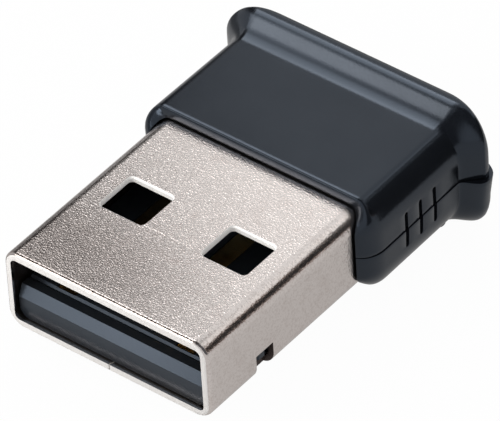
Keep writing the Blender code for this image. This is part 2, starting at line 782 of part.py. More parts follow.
def grip_grooves():
    """Three upright slots in each side, across the parting line, with round ends."""
    shape = bmesh.new()
    radius = GROOVE_WIDTH / 2
    straight = GROOVE_HEIGHT / 2 - radius
    for side in (-1, 1):
        for i in range(GROOVE_COUNT):
            y = mix(GROOVE_Y_FIRST, GROOVE_Y_LAST, i / max(GROOVE_COUNT - 1, 1))
            outline = arc((y, straight), radius, 0, 180, 4) + arc((y, -straight), radius, 180, 360, 4)
            inner = side * (BODY_HALF_WIDTH - BODY_TAPER - GROOVE_DEPTH)
            outer = side * (BODY_HALF_WIDTH + CORNER_REACH)
            add_loft(shape, [[(x, a, b) for a, b in outline] for x in (inner, outer)])
    return mesh_from(shape, "groove_slots")


def rib_root():
    """Where ribs run into the walls: an arc outside the bore's corner, from the side to the ceiling."""
    centre = (BORE_WIDTH / 2 - BORE_RADIUS, BORE_HEIGHT / 2 - BORE_RADIUS)
    return arc(centre, BORE_RADIUS + RIB_EMBED, 0, 90, 4)


def stop_rib_outline():
    """Cross-section of the rib just behind the shell's rear edge, which takes the push of plugging in."""
    tip_x = BOARD_HALF_WIDTH + 3 * FIT_GAP
    root = rib_root()
    if tip_x < root[-1][0]:
        root.append((tip_x, root[-1][1]))
    else:
        root = [point for point in root if point[0] > tip_x + FIT_GAP]
        root.append((tip_x, BORE_HEIGHT / 2))
    return [(tip_x, STOP_RIB_START), (root[0][0], STOP_RIB_START)] + root


def catch_lugs(upper):
    """Lugs on the bore's ceiling or floor that stand in the shell's catch windows."""
    lug = rectangle(
        (CATCH_OFFSET - CATCH_WIDTH / 2 + FIT_GAP, CATCH_MIDDLE - CATCH_LENGTH / 2 + FIT_GAP),
        (CATCH_OFFSET + CATCH_WIDTH / 2 - FIT_GAP, CATCH_MIDDLE + CATCH_LENGTH / 2 - FIT_GAP),
    )
    side = 1 if upper else -1
    inner = side * (BORE_HEIGHT / 2 - FIT_GAP - CATCH_DEPTH)
    outer = side * (BORE_HEIGHT / 2 + EMBED)
    return prisms("catch_lugs", [lug, mirrored(lug)], "Z", min(inner, outer), max(inner, outer))


def clamp_rib_outline(upper):
    """Cross-section of the rib that holds the board's edge, from above or, mirrored in Z, from below."""
    tip_x = BOARD_HALF_WIDTH - CLAMP_RIB_BITE
    root = rib_root()
    ceiling = (tip_x, root[-1][1])
    if not upper:
        edge = -BOARD_UNDER + FIT_GAP
        return [(tip_x, edge), (root[0][0], edge)] + root + [ceiling]
    above_lap = LAP_HEIGHT + 2 * FIT_GAP
    clear_x = BORE_WIDTH / 2 - 2 * FIT_GAP
    edge = BOARD_TOP + FIT_GAP
    foot = [(tip_x, edge), (clear_x, edge), (clear_x, above_lap), (root[0][0], above_lap)]
    return foot + root + [ceiling]


def rib_pair(name, outline, side, start, length):
    """A rib and its mirror image along both side walls, turned over for the lower half."""
    turned = [(x, side * z) for x, z in outline]
    return prisms(name, [turned, mirrored(turned)], "Y", start, start + length)


def add_housing_half(name, upper, material):
    """One moulding: the skin cut at the parting line and hollowed, with its lap joint and inner features."""
    tag = "upper" if upper else "lower"
    half = add_object(name, skin_mesh(name, not upper), material)

    side = 1 if upper else -1
    plane = side * PARTING_GAP / 2
    far = -side * SPLIT_BOX_HALF
    square = rectangle((-SPLIT_BOX_HALF, -SPLIT_BOX_HALF), (SPLIT_BOX_HALF, SPLIT_BOX_HALF))
    block = prisms(f"{tag}_split", [square], "Z", min(plane, far), max(plane, far))
    boolean(half, add_cutter(f"{tag}_split", block), "DIFFERENCE")

    if upper:
        rebate = prisms("lap_rebate", [lap_outline(FIT_GAP)], "Z", -LAP_HEIGHT, LAP_HEIGHT + FIT_GAP)
        boolean(half, add_cutter("lap_rebate", rebate), "DIFFERENCE")
    else:
        tongue = prisms("lap_tongue", [lap_outline(0.0)], "Z", -LAP_HEIGHT, LAP_HEIGHT)
        boolean(half, add_cutter("lap_tongue", tongue), "UNION")

    section = rounded_rectangle(BORE_WIDTH / 2, BORE_HEIGHT / 2, BORE_RADIUS)
    ends = (PANEL_FRONT - CHEEK_REACH - HOUSING_LENGTH, CAVITY_REAR)
    cavity = loft(f"{tag}_cavity", [[(x, y, z) for x, z in section] for y in ends])
    boolean(half, add_cutter(f"{tag}_cavity", cavity), "DIFFERENCE")

    stops = rib_pair(f"{tag}_stops", stop_rib_outline(), side, SHELL_LENGTH + FIT_GAP, STOP_RIB_LENGTH)
    boolean(half, add_cutter(f"{tag}_stops", stops), "UNION")
    boolean(half, add_cutter(f"{tag}_lugs", catch_lugs(upper)), "UNION")
    clamp = clamp_rib_outline(upper)
    clamps = rib_pair(f"{tag}_clamps", clamp, side, CLAMP_RIB_FRONT, CLAMP_RIB_LENGTH)
    boolean(half, add_cutter(f"{tag}_clamps", clamps), "UNION")
    return half


def build_housing():
    """The upper and lower mouldings, the lower one standing a little proud at the parting line."""
    plastic = finish("housing_plastic", (0.045, 0.05, 0.062), 0.38, 0.0)
    grooves = add_cutter("groove_slots", grip_grooves())
    upper = add_housing_half("upper_housing", True, plastic)
    boolean(upper, grooves, "DIFFERENCE")
    lower = add_housing_half("lower_housing", False, plastic)
    boolean(lower, grooves, "DIFFERENCE")

    top = BOARD_TOP + PILLAR_RISE
    pillar = arc((PILLAR_X, PILLAR_Y), PILLAR_RADIUS, 0, 360, ROUND_STEPS)[:-1]
    pillars = prisms(
        "board_pillars", [pillar, mirrored(pillar)], "Z", -BORE_HEIGHT / 2 - EMBED, top
    )
    boolean(lower, add_cutter("board_pillars", pillars), "UNION")


# Circuit board


def board_outline():
    """Plan of the board: round rear corners and a half-round notch for a pillar in each long edge."""
    notch = PILLAR_RADIUS + 2 * FIT_GAP
    offset = PILLAR_X - BOARD_HALF_WIDTH
    half_angle = math.degrees(math.acos(min(offset / notch, 0.99)))
    right = [(BOARD_HALF_WIDTH, BOARD_FRONT)]
    right += arc((PILLAR_X, PILLAR_Y), notch, 180 + half_angle, 180 - half_angle, 8)
    corner = (BOARD_HALF_WIDTH - BOARD_CORNER, BOARD_REAR - BOARD_CORNER)
    right += arc(corner, BOARD_CORNER, 0, 90, 4)
    return right + mirrored(right)


def build_board():
    """The bare board."""
    laminate = finish("board_laminate", (0.02, 0.16, 0.08), 0.45, 0.0)
    mesh = prisms("circuit_board", [board_outline()], "Z", BOARD_UNDER, BOARD_TOP)
    add_object("circuit_board", mesh, laminate)


def comb_outline(half, width, proud):
    """A square outline with a tooth for each pad standing out of each side."""
    points = []
    teeth = RADIO_PAD_COUNT
    pitch = RADIO_CHIP_SIZE / (teeth + 1)
    for quarter in range(4):
        turn = math.pi / 2 * quarter
        edge = [(-half, -half)]
        for i in range(teeth):
            x = (i - (teeth - 1) / 2) * pitch
            edge += [
                (x - width / 2, -half),
                (x - width / 2, -half - proud),
                (x + width / 2, -half - proud),
                (x + width / 2, -half),
            ]
        for a, b in edge:
            points.append((a * math.cos(turn) - b * math.sin(turn), a * math.sin(turn) + b * math.cos(turn)))
    return points


def build_radio_chip(place):
    """A leadless package: pads all round its foot, a body a little smaller and a pin mark."""
    half = RADIO_CHIP_SIZE / 2 - RADIO_PAD_PROUD
    inner = half - RADIO_PAD_PROUD / 2
    foot = comb_outline(half, RADIO_PAD_WIDTH, RADIO_PAD_PROUD)
    body = comb_outline(inner, RADIO_PAD_WIDTH - RADIO_PAD_PROUD, RADIO_PAD_PROUD / 4)
    rings = [
        [(x, y, 0.0) for x, y in foot],
        [(x, y, RADIO_PAD_HEIGHT) for x, y in foot],
        [(x, y, RADIO_PAD_HEIGHT) for x, y in body],
        [(x, y, RADIO_CHIP_HEIGHT) for x, y in body],
    ]
    epoxy = finish("radio_epoxy", (0.02, 0.02, 0.022), 0.5, 0.0)
    chip = add_object("radio_chip", loft("radio_chip", rings), epoxy, place)
    inset = 2 * PIN_MARK_RADIUS
    centre = (inset - half, half - inset)
    mark = arc(centre, PIN_MARK_RADIUS, 0, 360, ROUND_STEPS)[:-1]
    low = RADIO_CHIP_HEIGHT - PIN_MARK_DEPTH
    cutter = prisms("pin_mark", [mark], "Z", low, RADIO_CHIP_HEIGHT + PIN_MARK_DEPTH)
    boolean(chip, add_cutter("pin_mark", cutter, place), "DIFFERENCE")


def build_crystal(place):
    """A ceramic tray with a smaller metal lid welded on its rim."""
    radius = CRYSTAL_LEDGE
    tray = rounded_rectangle(CRYSTAL_LENGTH / 2, CRYSTAL_WIDTH / 2, radius, 3)
    lid = rounded_rectangle(
        CRYSTAL_LENGTH / 2 - CRYSTAL_LEDGE, CRYSTAL_WIDTH / 2 - CRYSTAL_LEDGE, radius, 3
    )
    top = CRYSTAL_BASE_HEIGHT + CRYSTAL_LID_HEIGHT
    rings = [
        [(x, y, 0.0) for x, y in tray],
        [(x, y, CRYSTAL_BASE_HEIGHT) for x, y in tray],
        [(x, y, CRYSTAL_BASE_HEIGHT) for x, y in lid],
        [(x, y, top) for x, y in lid],
    ]
    metal = finish("crystal_lid", (0.75, 0.74, 0.7), 0.3, 1.0)
    add_object("crystal", loft("crystal", rings), metal, place)


def block_ring(x, half_width, low, high, chamfer):
    """A chamfered rectangle across X."""
    outline = [
        (half_width, low + chamfer),
        (half_width, high - chamfer),
        (half_width - chamfer, high),
        (chamfer - half_width, high),
        (-half_width, high - chamfer),
        (-half_width, low + chamfer),
        (chamfer - half_width, low),
        (half_width - chamfer, low),
    ]
    return [(x, y, z) for y, z in outline]


def terminal_block(name, size, terminal, material, place, turn=0.0):
    """A two-ended surface part: a bar between two end caps that stand slightly proud of it."""
    length, width, height = size
    half = length / 2
    chamfer = TERMINAL_PROUD
    cap = (width / 2, 0.0, height, chamfer)
    bar = (width / 2 - TERMINAL_PROUD, TERMINAL_PROUD, height - TERMINAL_PROUD, chamfer)
    rings = [
        block_ring(-half, *cap),
        block_ring(terminal - half, *cap),
        block_ring(terminal - half, *bar),
        block_ring(half - terminal, *bar),
        block_ring(half - terminal, *cap),
        block_ring(half, *cap),
    ]
    return add_object(name, loft(name, rings), material, place, turn)


def package_ring(inset, level):
    """A rectangle of the leaded package at one level, drawn in by an inset for the mould's draft."""
    x = PACKAGE_LENGTH / 2 - inset
    y = PACKAGE_WIDTH / 2 - inset
    return [(a, b, -level) for a, b in rectangle((-x, -y), (x, y))]


def leaded_chip(name, count, pitch, material, place):
    """A small package that hangs below the board, with gull-wing leads on its two long sides."""
    high = LEAD_STANDOFF + PACKAGE_HEIGHT
    waist = (LEAD_STANDOFF + high) / 2
    draft = PACKAGE_HEIGHT / 10
    rings = [package_ring(draft, LEAD_STANDOFF), package_ring(0.0, waist), package_ring(draft, high)]
    chip = add_object(name, loft(name, rings), material, place)

    edge = PACKAGE_WIDTH / 2
    reach = edge + LEAD_REACH
    bend = reach - LEAD_FOOT
    half = LEAD_THICKNESS / 2
    path = [(edge - EMBED, waist), (mix(edge, bend, 0.5), waist), (bend, half), (reach, half)]
    outline = ribbon(path, LEAD_THICKNESS)
    shape = bmesh.new()
    for i in range(count):
        x = (i - (count - 1) / 2) * pitch
        for side in (-1, 1):
            rows = []
            for level in (x - LEAD_WIDTH / 2, x + LEAD_WIDTH / 2):
                rows.append([(level, side * y, -z) for y, z in outline])
            add_loft(shape, rows)
    leads = mesh_from(shape, f"{name}_leads")
    boolean(chip, add_cutter(f"{name}_leads", leads, place), "UNION")


def build_upper_parts():
    """The parts on top of the board: capacitors, the radio chip, and the crystal, filter and antenna."""
    level = BOARD_TOP + SOLDER_GAP
    build_radio_chip((-RADIO_OFFSET, PARTS_FRONT + RADIO_CHIP_SIZE / 2, level))
    column = RADIO_CHIP_SIZE / 2 - RADIO_OFFSET + PART_SPACING
    build_crystal((column + CRYSTAL_LENGTH / 2, PARTS_FRONT + CRYSTAL_WIDTH / 2, level))

    grey = finish("filter_ceramic", (0.35, 0.36, 0.4), 0.45, 0.0)
    filter_size = (FILTER_LENGTH, FILTER_WIDTH, FILTER_HEIGHT)
    filter_x = column + CRYSTAL_LENGTH + PART_SPACING + FILTER_WIDTH / 2
    place = (filter_x, PARTS_FRONT + FILTER_LENGTH / 2, level)
    terminal_block("band_filter", filter_size, FILTER_TERMINAL, grey, place, math.pi / 2)

    ceramic = finish("antenna_ceramic", (0.75, 0.78, 0.74), 0.4, 0.0)
    antenna = (ANTENNA_LENGTH, ANTENNA_WIDTH, ANTENNA_HEIGHT)
    antenna_y = BOARD_REAR - PART_SPACING / 4 - ANTENNA_WIDTH / 2
    place = (column + ANTENNA_LENGTH / 2, antenna_y, level)
    terminal_block("chip_antenna", antenna, ANTENNA_TERMINAL, ceramic, place)

    buff = finish("capacitor_ceramic", (0.45, 0.3, 0.18), 0.5, 0.0)
    capacitor = (PASSIVE_LENGTH, PASSIVE_WIDTH, CAPACITOR_HEIGHT)
    x = -RADIO_OFFSET - RADIO_CHIP_SIZE / 2 - PART_SPACING - PASSIVE_LENGTH / 2
    pitch = (BOARD_REAR - PARTS_FRONT) / CAPACITOR_COUNT
    for i in range(CAPACITOR_COUNT):
        place = (x, PARTS_FRONT + (i + 0.5) * pitch, level)
        terminal_block(f"capacitor_{i + 1}", capacitor, PASSIVE_TERMINAL, buff, place)


def build_under_parts():
    """The parts below the board: a column of resistors and a bead, the memory and the regulator."""
    level = BOARD_UNDER - SOLDER_GAP
    epoxy = finish("package_epoxy", (0.02, 0.02, 0.02), 0.5, 0.0)
    chip_y = PARTS_FRONT + PACKAGE_WIDTH / 2 + LEAD_REACH
    place = (-RADIO_OFFSET, chip_y, level)
    leaded_chip("memory_chip", MEMORY_LEAD_COUNT, MEMORY_LEAD_PITCH, epoxy, place)
    place = (PACKAGE_LENGTH - RADIO_OFFSET + PART_SPACING, chip_y, level)
    leaded_chip("voltage_regulator", REGULATOR_LEAD_COUNT, REGULATOR_LEAD_PITCH, epoxy, place)

    tin = finish("resistor_ceramic", (0.7, 0.7, 0.7), 0.35, 0.0)
    x = -RADIO_OFFSET - PACKAGE_LENGTH / 2 - PART_SPACING - PASSIVE_LENGTH / 2
    pitch = (BOARD_REAR - PARTS_FRONT) / (RESISTOR_COUNT + 1)
    size = (PASSIVE_LENGTH, PASSIVE_WIDTH, RESISTOR_HEIGHT)
    for i in range(RESISTOR_COUNT):
        place = (x, PARTS_FRONT + (i + 0.5) * pitch, level - RESISTOR_HEIGHT)
        terminal_block(f"resistor_{i + 1}", size, PASSIVE_TERMINAL, tin, place)

    ferrite = finish("bead_ferrite", (0.1, 0.1, 0.11), 0.55, 0.0)
    size = (PASSIVE_LENGTH, PASSIVE_WIDTH, BEAD_HEIGHT)
    place = (x, BOARD_REAR - 0.5 * pitch, level - BEAD_HEIGHT)
    terminal_block("ferrite_bead", size, PASSIVE_TERMINAL, ferrite, place)


def main():
    """Builds the adapter."""
    global ROOT
    clear_scene()
    ROOT = bpy.data.objects.new("adapter_root", None)
    bpy.context.scene.collection.objects.link(ROOT)
    ROOT.location = (0.0, -FOOTPRINT_MIDDLE, AXIS_HEIGHT)
    build_plug_shell()
    build_plug_insulator()
    build_contacts()
    build_housing()
    build_board()
    build_upper_parts()
    build_under_parts()
    bpy.context.view_layer.update()


main()
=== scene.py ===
"""Looks of a small wireless USB adapter: a folded nickel plug in a dark housing with a flared lip.

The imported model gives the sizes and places. The four pieces that show are modelled again with fine
facets, rounded cut edges and smooth mouldings, and every other piece keeps its solid and gets a finish
of its own. Shapes are drawn in plug coordinates: X across the plug, Y from its mouth towards the lip
and Z up from the plug's axis. Lengths are in metres, written as millimetres times MM.
"""

import logging
import math
from collections.abc import Callable, Mapping, Sequence
from dataclasses import dataclass, field
from enum import Enum
from typing import Any

import bmesh
import bpy
from mathutils import Matrix, Vector


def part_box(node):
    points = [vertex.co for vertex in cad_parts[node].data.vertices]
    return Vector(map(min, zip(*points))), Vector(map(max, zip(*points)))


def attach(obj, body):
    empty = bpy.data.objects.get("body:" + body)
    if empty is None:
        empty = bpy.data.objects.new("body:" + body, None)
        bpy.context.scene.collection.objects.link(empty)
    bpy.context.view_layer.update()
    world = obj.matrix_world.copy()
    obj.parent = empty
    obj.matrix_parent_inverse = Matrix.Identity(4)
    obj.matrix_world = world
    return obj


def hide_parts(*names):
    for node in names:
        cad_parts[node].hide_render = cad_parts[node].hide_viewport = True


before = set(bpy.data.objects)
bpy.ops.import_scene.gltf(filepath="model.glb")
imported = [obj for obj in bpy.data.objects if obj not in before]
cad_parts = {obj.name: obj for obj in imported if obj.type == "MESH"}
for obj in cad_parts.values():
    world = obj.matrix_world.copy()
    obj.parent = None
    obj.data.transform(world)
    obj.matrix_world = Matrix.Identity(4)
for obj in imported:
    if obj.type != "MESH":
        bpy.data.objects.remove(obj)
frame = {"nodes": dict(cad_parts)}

LOG = logging.getLogger("adapter")
MM = 0.001
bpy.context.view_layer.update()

Flat = tuple[float, float]
Point = tuple[float, float, float]
Colour = tuple[float, float, float]


class Value:
    """A number socket, so that shader maths reads as plain arithmetic."""

    def __init__(self, graph: "Graph", socket: bpy.types.NodeSocket) -> None:
        """Wraps one output socket.

        Args:
            graph: The graph that the socket belongs to.
            socket: The output that carries the number.
        """
        self.graph = graph
        self.socket = socket

    def _maths(self, operation: str, first: Any, second: Any = 0.0) -> "Value":
        """Adds one Math node and returns its result."""
        node = self.graph.node("ShaderNodeMath", {"operation": operation}, {0: first, 1: second})
        return Value(self.graph, node.outputs[0])

    def __add__(self, other: Any) -> "Value":
        """Sum."""
        return self._maths("ADD", self, other)

    def __sub__(self, other: Any) -> "Value":
        """Difference."""
        return self._maths("SUBTRACT", self, other)

    def __rsub__(self, other: Any) -> "Value":
        """Difference from a plain number."""
        return self._maths("SUBTRACT", other, self)

    def __mul__(self, other: Any) -> "Value":
        """Product."""
        return self._maths("MULTIPLY", self, other)

    def __truediv__(self, other: Any) -> "Value":
        """Quotient."""
        return self._maths("DIVIDE", self, other)

    __radd__ = __add__
    __rmul__ = __mul__

    def larger(self, other: Any) -> "Value":
        """The larger of this and another number."""
        return self._maths("MAXIMUM", self, other)

    def zigzag(self) -> "Value":
        """Runs up and down between 0 and 0.5, once for every 1 of this number."""
        return self._maths("PINGPONG", self, 0.5)

    def step(self, low: float, high: float) -> "Value":
        """Eases from 0 at low to 1 at high.

        Args:
            low: The number at which the result starts to leave 0.
            high: The number at which the result reaches 1; it may be below low.

        Returns:
            The eased number.
        """
        if low > high:
            return 1 - self.step(high, low)
        node = self.graph.node(
            "ShaderNodeMapRange",
            {"interpolation_type": "SMOOTHSTEP"},
            {"Value": self, "From Min": low, "From Max": high},
        )
        return Value(self.graph, node.outputs["Result"])


class Graph:
    """The node tree of one material or of the world."""

    def __init__(self, tree: bpy.types.NodeTree) -> None:
        """Empties a tree, ready for nodes.

        Args:
            tree: The node tree to fill.
        """
        self.tree = tree
        tree.nodes.clear()

    def node(
        self,
        kind: str,
        settings: Mapping[str, Any] | None = None,
        values: Mapping[str | int, Any] | None = None,
    ) -> bpy.types.Node:
        """Adds a node, sets it up and feeds its sockets.

        Args:
            kind: The node's type.
            settings: The node's own settings, with "stops" for a colour ramp's stops.
            values: What each input socket gets: a number, a colour, a socket or a Value.

        Returns:
            The new node.
        """
        node = self.tree.nodes.new(kind)
        for name, value in (settings or {}).items():
            if name == "stops":
                self._set_stops(node.color_ramp, value)
            else:
                setattr(node, name, value)
        for key, value in (values or {}).items():
            self.feed(node.inputs[key], value)
        return node

    @staticmethod
    def _set_stops(ramp: bpy.types.ColorRamp, stops: Sequence[tuple[float, Colour]]) -> None:
        """Gives a colour ramp its stops.

        Args:
            ramp: The node's ramp.
            stops: The place and the colour of each stop.
        """
        while len(ramp.elements) < len(stops):
            ramp.elements.new(1.0)
        for element, (place, colour) in zip(ramp.elements, stops):
            element.position = place
            element.color = (*colour, 1.0)

    def feed(self, socket: bpy.types.NodeSocket, value: Any) -> None:
        """Links or sets one input socket.

        Args:
            socket: The input socket.
            value: A number, a colour, a socket or a Value.
        """
        if isinstance(value, Value):
            value = value.socket
        if isinstance(value, bpy.types.NodeSocket):
            self.tree.links.new(value, socket)
        elif isinstance(value, tuple) and socket.type == "RGBA":
            socket.default_value = (*value, 1.0)
        else:
            socket.default_value = value

    def place(self, kind: str = "Object") -> bpy.types.NodeSocket:
        """The texture coordinate of one kind."""
        return self.node("ShaderNodeTexCoord").outputs[kind]

    def stretched(self, place: bpy.types.NodeSocket, scale: Point) -> bpy.types.NodeSocket:
        """A coordinate scaled by its own factor along each axis."""
        settings = {"operation": "MULTIPLY"}
        return self.node("ShaderNodeVectorMath", settings, {0: place, 1: scale}).outputs[0]

    def axes(self, place: bpy.types.NodeSocket) -> tuple[Value, Value, Value]:
        """The three numbers of a coordinate.

        Args:
            place: The coordinate's socket.

        Returns:
            Its X, Y and Z.
        """
        node = self.node("ShaderNodeSeparateXYZ", None, {0: place})
        x, y, z = (Value(self, output) for output in node.outputs)
        return x, y, z

    def noise(self, place: bpy.types.NodeSocket, grain: float, detail: float = 2.0) -> Value:
        """Cloudy noise.

        Args:
            place: The coordinate that it follows.
            grain: About how far apart two light spots are, in the coordinate's units.
            detail: How many finer layers it holds.

        Returns:
            A number around 0.5.
        """
        values = {"Vector": place, "Scale": 1 / grain, "Detail": detail, "Roughness": 0.55}
        return Value(self, self.node("ShaderNodeTexNoise", None, values).outputs[0])

    def cells(self, place: bpy.types.NodeSocket, grain: float) -> Value:
        """How far a point is from the middle of its pebble.

        Args:
            place: The coordinate that it follows.
            grain: The pebbles' width, in the coordinate's units.

        Returns:
            0 in the middle of a pebble, near 1 at its edge.
        """
        values = {"Vector": place, "Scale": 1 / grain}
        node = self.node("ShaderNodeTexVoronoi", {"feature": "F1"}, values)
        return Value(self, node.outputs["Distance"])

    def ramp(self, value: Value, stops: Sequence[tuple[float, Colour]]) -> bpy.types.NodeSocket:
        """A colour read from stops along a number."""
        return self.node("ShaderNodeValToRGB", {"stops": stops}, {"Fac": value}).outputs["Color"]

    def mix(self, share: Any, one: Any, two: Any) -> bpy.types.NodeSocket:
        """A colour between two others.

        Args:
            share: 0 for the first colour, 1 for the second.
            one: The first colour or its socket.
            two: The second colour or its socket.

        Returns:
            The mixed colour's socket.
        """
        node = self.node("ShaderNodeMix", {"data_type": "RGBA"})
        self.feed(node.inputs["Factor"], share)
        self.feed(node.inputs[6], one)
        self.feed(node.inputs[7], two)
        return node.outputs[2]

    def bump(self, height: Value, depth: float) -> bpy.types.NodeSocket:
        """A normal that a height from 0 to 1 tilts.

        Args:
            height: The height.
            depth: How deep a height of 1 is, in metres.

        Returns:
            The normal's socket.
        """
        values = {"Height": height, "Distance": depth, "Strength": 1.0}
        return self.node("ShaderNodeBump", None, values).outputs["Normal"]

    def principled(self, values: Mapping[str, Any]) -> bpy.types.NodeSocket:
        """A Principled shader with some sockets set or fed."""
        return self.node("ShaderNodeBsdfPrincipled", None, values).outputs["BSDF"]

    def output(self, shader: bpy.types.NodeSocket, kind: str = "ShaderNodeOutputMaterial") -> None:
        """Ends the tree in an output node."""
        self.node(kind, None, {"Surface": shader})


@dataclass(frozen=True)
class Finish:
    """A surface finish: its name and the record's material slot that it belongs to."""

    name: str
    slot: str

    def paint(self, graph: Graph) -> bpy.types.NodeSocket:
        """Builds the finish's nodes.

        Args:
            graph: The empty graph of the new material.

        Returns:
            The shader's socket.
        """
        raise NotImplementedError

    def material(self) -> bpy.types.Material:
        """The finish as a Blender material, made on its first use.

        Returns:
            The material.
        """
        found = bpy.data.materials.get(self.name)
        if found is not None:
            return found
        made = bpy.data.materials.new(self.name)
        made.use_nodes = True
        graph = Graph(made.node_tree)
        graph.output(self.paint(graph))
        return made


@dataclass(frozen=True)
class NickelPlate(Finish):
    """Warm nickel on rolled sheet: pebbled grain, dark pits, soft mottling and painted shade on the
    front-left corner, which stands in for a darker reflection there.
    """

    light: Colour = (0.91, 0.845, 0.815)
    dark: Colour = (0.58, 0.49, 0.45)
    # The colour of the painted shade on the front-left corner.
    painted_shade: Colour = (0.37, 0.32, 0.30)
    grain: float = 0.09 * MM
    mottle: float = 0.9 * MM
    depth: float = 0.0085 * MM
    smooth: float = 0.15
    rough: float = 0.25
    pit_share: float = 0.3
    mottle_share: float = 0.25
    # How strongly the painted shade darkens the front-left corner, and the spans across and along the
    # plug where it lies.
    painted_shade_share: float = 0.55
    painted_shade_across: Flat = (6.5 * MM, -3.5 * MM)
    painted_shade_along: Flat = (7.0 * MM, 2.0 * MM)

    def paint(self, graph: Graph) -> bpy.types.NodeSocket:
        """Builds the nodes of the plate.

        Args:
            graph: The material's empty graph.

        Returns:
            The shader's socket.
        """
        place = graph.place()
        fine = graph.noise(place, self.grain, 1.0)
        pebbles = graph.cells(place, 1.6 * self.grain)
        cloud = graph.noise(place, self.mottle, 3.0)
        x, y, _ = graph.axes(place)
        # Painted shade: the front-left corner is darkened, with more dark pits, to stand in for a darker
        # reflection there.
        painted_corner_mask = x.step(*self.painted_shade_across) * y.step(*self.painted_shade_along)
        pits = (fine * 0.8 + pebbles * 0.3).step(0.5, 0.72)
        tone = graph.mix(pits * (painted_corner_mask * self.pit_share + self.pit_share), self.light, self.dark)
        mottled = graph.mix((cloud - 0.5).step(0.0, 0.3) * self.mottle_share, tone, self.dark)
        painted_corner_tone = graph.mix(painted_corner_mask * self.painted_shade_share, mottled, self.painted_shade)
        height = fine + pebbles * 0.2
        return graph.principled(
            {
                "Base Color": painted_corner_tone,
                "Metallic": 1.0,
                "Roughness": self.smooth + (self.rough - self.smooth) * (cloud * 0.6 + pits * 0.4),
                "Normal": graph.bump(height, self.depth),
            }
        )


@dataclass(frozen=True)
class CutEdge(Finish):
    """The sheet's punched and sheared edges: bright, dull and faintly scored across the sheet."""

    colour: Colour = (0.74, 0.715, 0.69)
    shade: Colour = (0.60, 0.56, 0.53)
    metallic: float = 0.35
    grain: float = 0.06 * MM
    depth: float = 0.003 * MM

    def paint(self, graph: Graph) -> bpy.types.NodeSocket:
        """Builds the nodes of the cut edge.

        Args:
            graph: The material's empty graph.

        Returns:
            The shader's socket.
        """
        scored = graph.stretched(graph.place(), (1.0, 1.0, 0.15))
        score = graph.noise(scored, self.grain, 3.0)
        return graph.principled(
            {
                "Base Color": graph.mix(score.step(0.5, 0.8), self.colour, self.shade),
                "Metallic": self.metallic,
                "Roughness": 0.42 + score * 0.2,
                "Normal": graph.bump(score, self.depth),
            }
        )


@dataclass(frozen=True)
class MouldedPlastic(Finish):
    """Dark moulded plastic with a spark-eroded satin skin."""

    colour: Colour = (0.0035, 0.0042, 0.0060)
    worn: Colour = (0.008, 0.009, 0.011)
    sheen: Colour = (0.66, 0.80, 1.0)
    sheen_level: float = 0.72
    grain: float = 0.09 * MM
    drift: float = 2.2 * MM
    depth: float = 0.003 * MM
    roughness: float = 0.08

    def paint(self, graph: Graph) -> bpy.types.NodeSocket:
        """Builds the nodes of the plastic.

        Args:
            graph: The material's empty graph.

        Returns:
            The shader's socket.
        """
        place = graph.place()
        fine = graph.noise(place, self.grain, 3.0)
        drift = graph.noise(place, self.drift, 2.0)
        tone = graph.mix(fine * drift * 2, self.colour, self.worn)
        return graph.principled(
            {
                "Base Color": tone,
                "Specular Tint": self.sheen,
                "Specular IOR Level": self.sheen_level,
                "Roughness": self.roughness + fine * 0.1 + drift * 0.06,
                "Normal": graph.bump(fine, self.depth),
            }
        )


@dataclass(frozen=True)
class GoldPlate(Finish):
    """Gold flash on spring bronze, drawn along its length."""

    light: Colour = (0.95, 0.72, 0.33)
    dark: Colour = (0.62, 0.42, 0.16)
    grain: float = 0.05 * MM
    depth: float = 0.001 * MM

    def paint(self, graph: Graph) -> bpy.types.NodeSocket:
        """Builds the nodes of the contact.

        Args:
            graph: The material's empty graph.

        Returns:
            The shader's socket.
        """
        drawn = graph.stretched(graph.place(), (1.0, 0.04, 1.0))
        lines = graph.noise(drawn, self.grain, 2.0)
        wear = graph.noise(graph.place(), 12 * self.grain, 3.0)
        return graph.principled(
            {
                "Base Color": graph.mix(wear.step(0.45, 0.8) * 0.6 + lines * 0.2, self.light, self.dark),
                "Metallic": 1.0,
                "Roughness": 0.16 + lines * 0.14,
                "Normal": graph.bump(lines, self.depth),
            }
        )


@dataclass(frozen=True)
class BoardLaminate(Finish):
    """Green solder mask over copper lines, with bare glass laminate at the routed edge."""

    mask: Colour = (0.010, 0.110, 0.045)
    line: Colour = (0.030, 0.190, 0.080)
    edge: Colour = (0.42, 0.40, 0.22)
    edge_shade: Colour = (0.25, 0.24, 0.12)
    pitch: float = 0.42 * MM
    pitch_along: float = 2.3 * 0.42 * MM
    wander: float = 2.4 * MM
    wander_across: float = 1.6 * MM
    wander_along: float = 1.1 * MM
    weave: float = 0.08 * MM
    depth: float = 0.015 * MM

    def paint(self, graph: Graph) -> bpy.types.NodeSocket:
        """Builds the nodes of the board.

        Args:
            graph: The material's empty graph.

        Returns:
            The shader's socket.
        """
        place = graph.place()
        x, y, _ = graph.axes(place)
        wander = graph.noise(place, self.wander, 1.0)
        along = ((x + wander * self.wander_across) / self.pitch).zigzag()
        cross = ((y + wander * self.wander_along) / self.pitch_along).zigzag()
        copper = along.step(0.3, 0.36).larger(cross.step(0.42, 0.45))
        weave = graph.noise(graph.stretched(place, (1.0, 1.0, 0.2)), self.weave, 2.0)
        _, _, up = graph.axes(graph.node("ShaderNodeNewGeometry").outputs["Normal"])
        flat = (up * up).step(0.3, 0.6)
        face = graph.mix(copper, self.mask, self.line)
        side = graph.mix(weave * 0.5, self.edge, self.edge_shade)
        return graph.principled(
            {
                "Base Color": graph.mix(flat, side, face),
                "Roughness": 0.62 - flat * 0.34 + weave * 0.08,
                "Normal": graph.bump(copper * flat, self.depth),
            }
        )


class Span(Enum):
    """Which way a part's ends or foot lie in its own box."""

    ALONG_X = 0
    ALONG_Y = 1
    ALONG_Z = 2


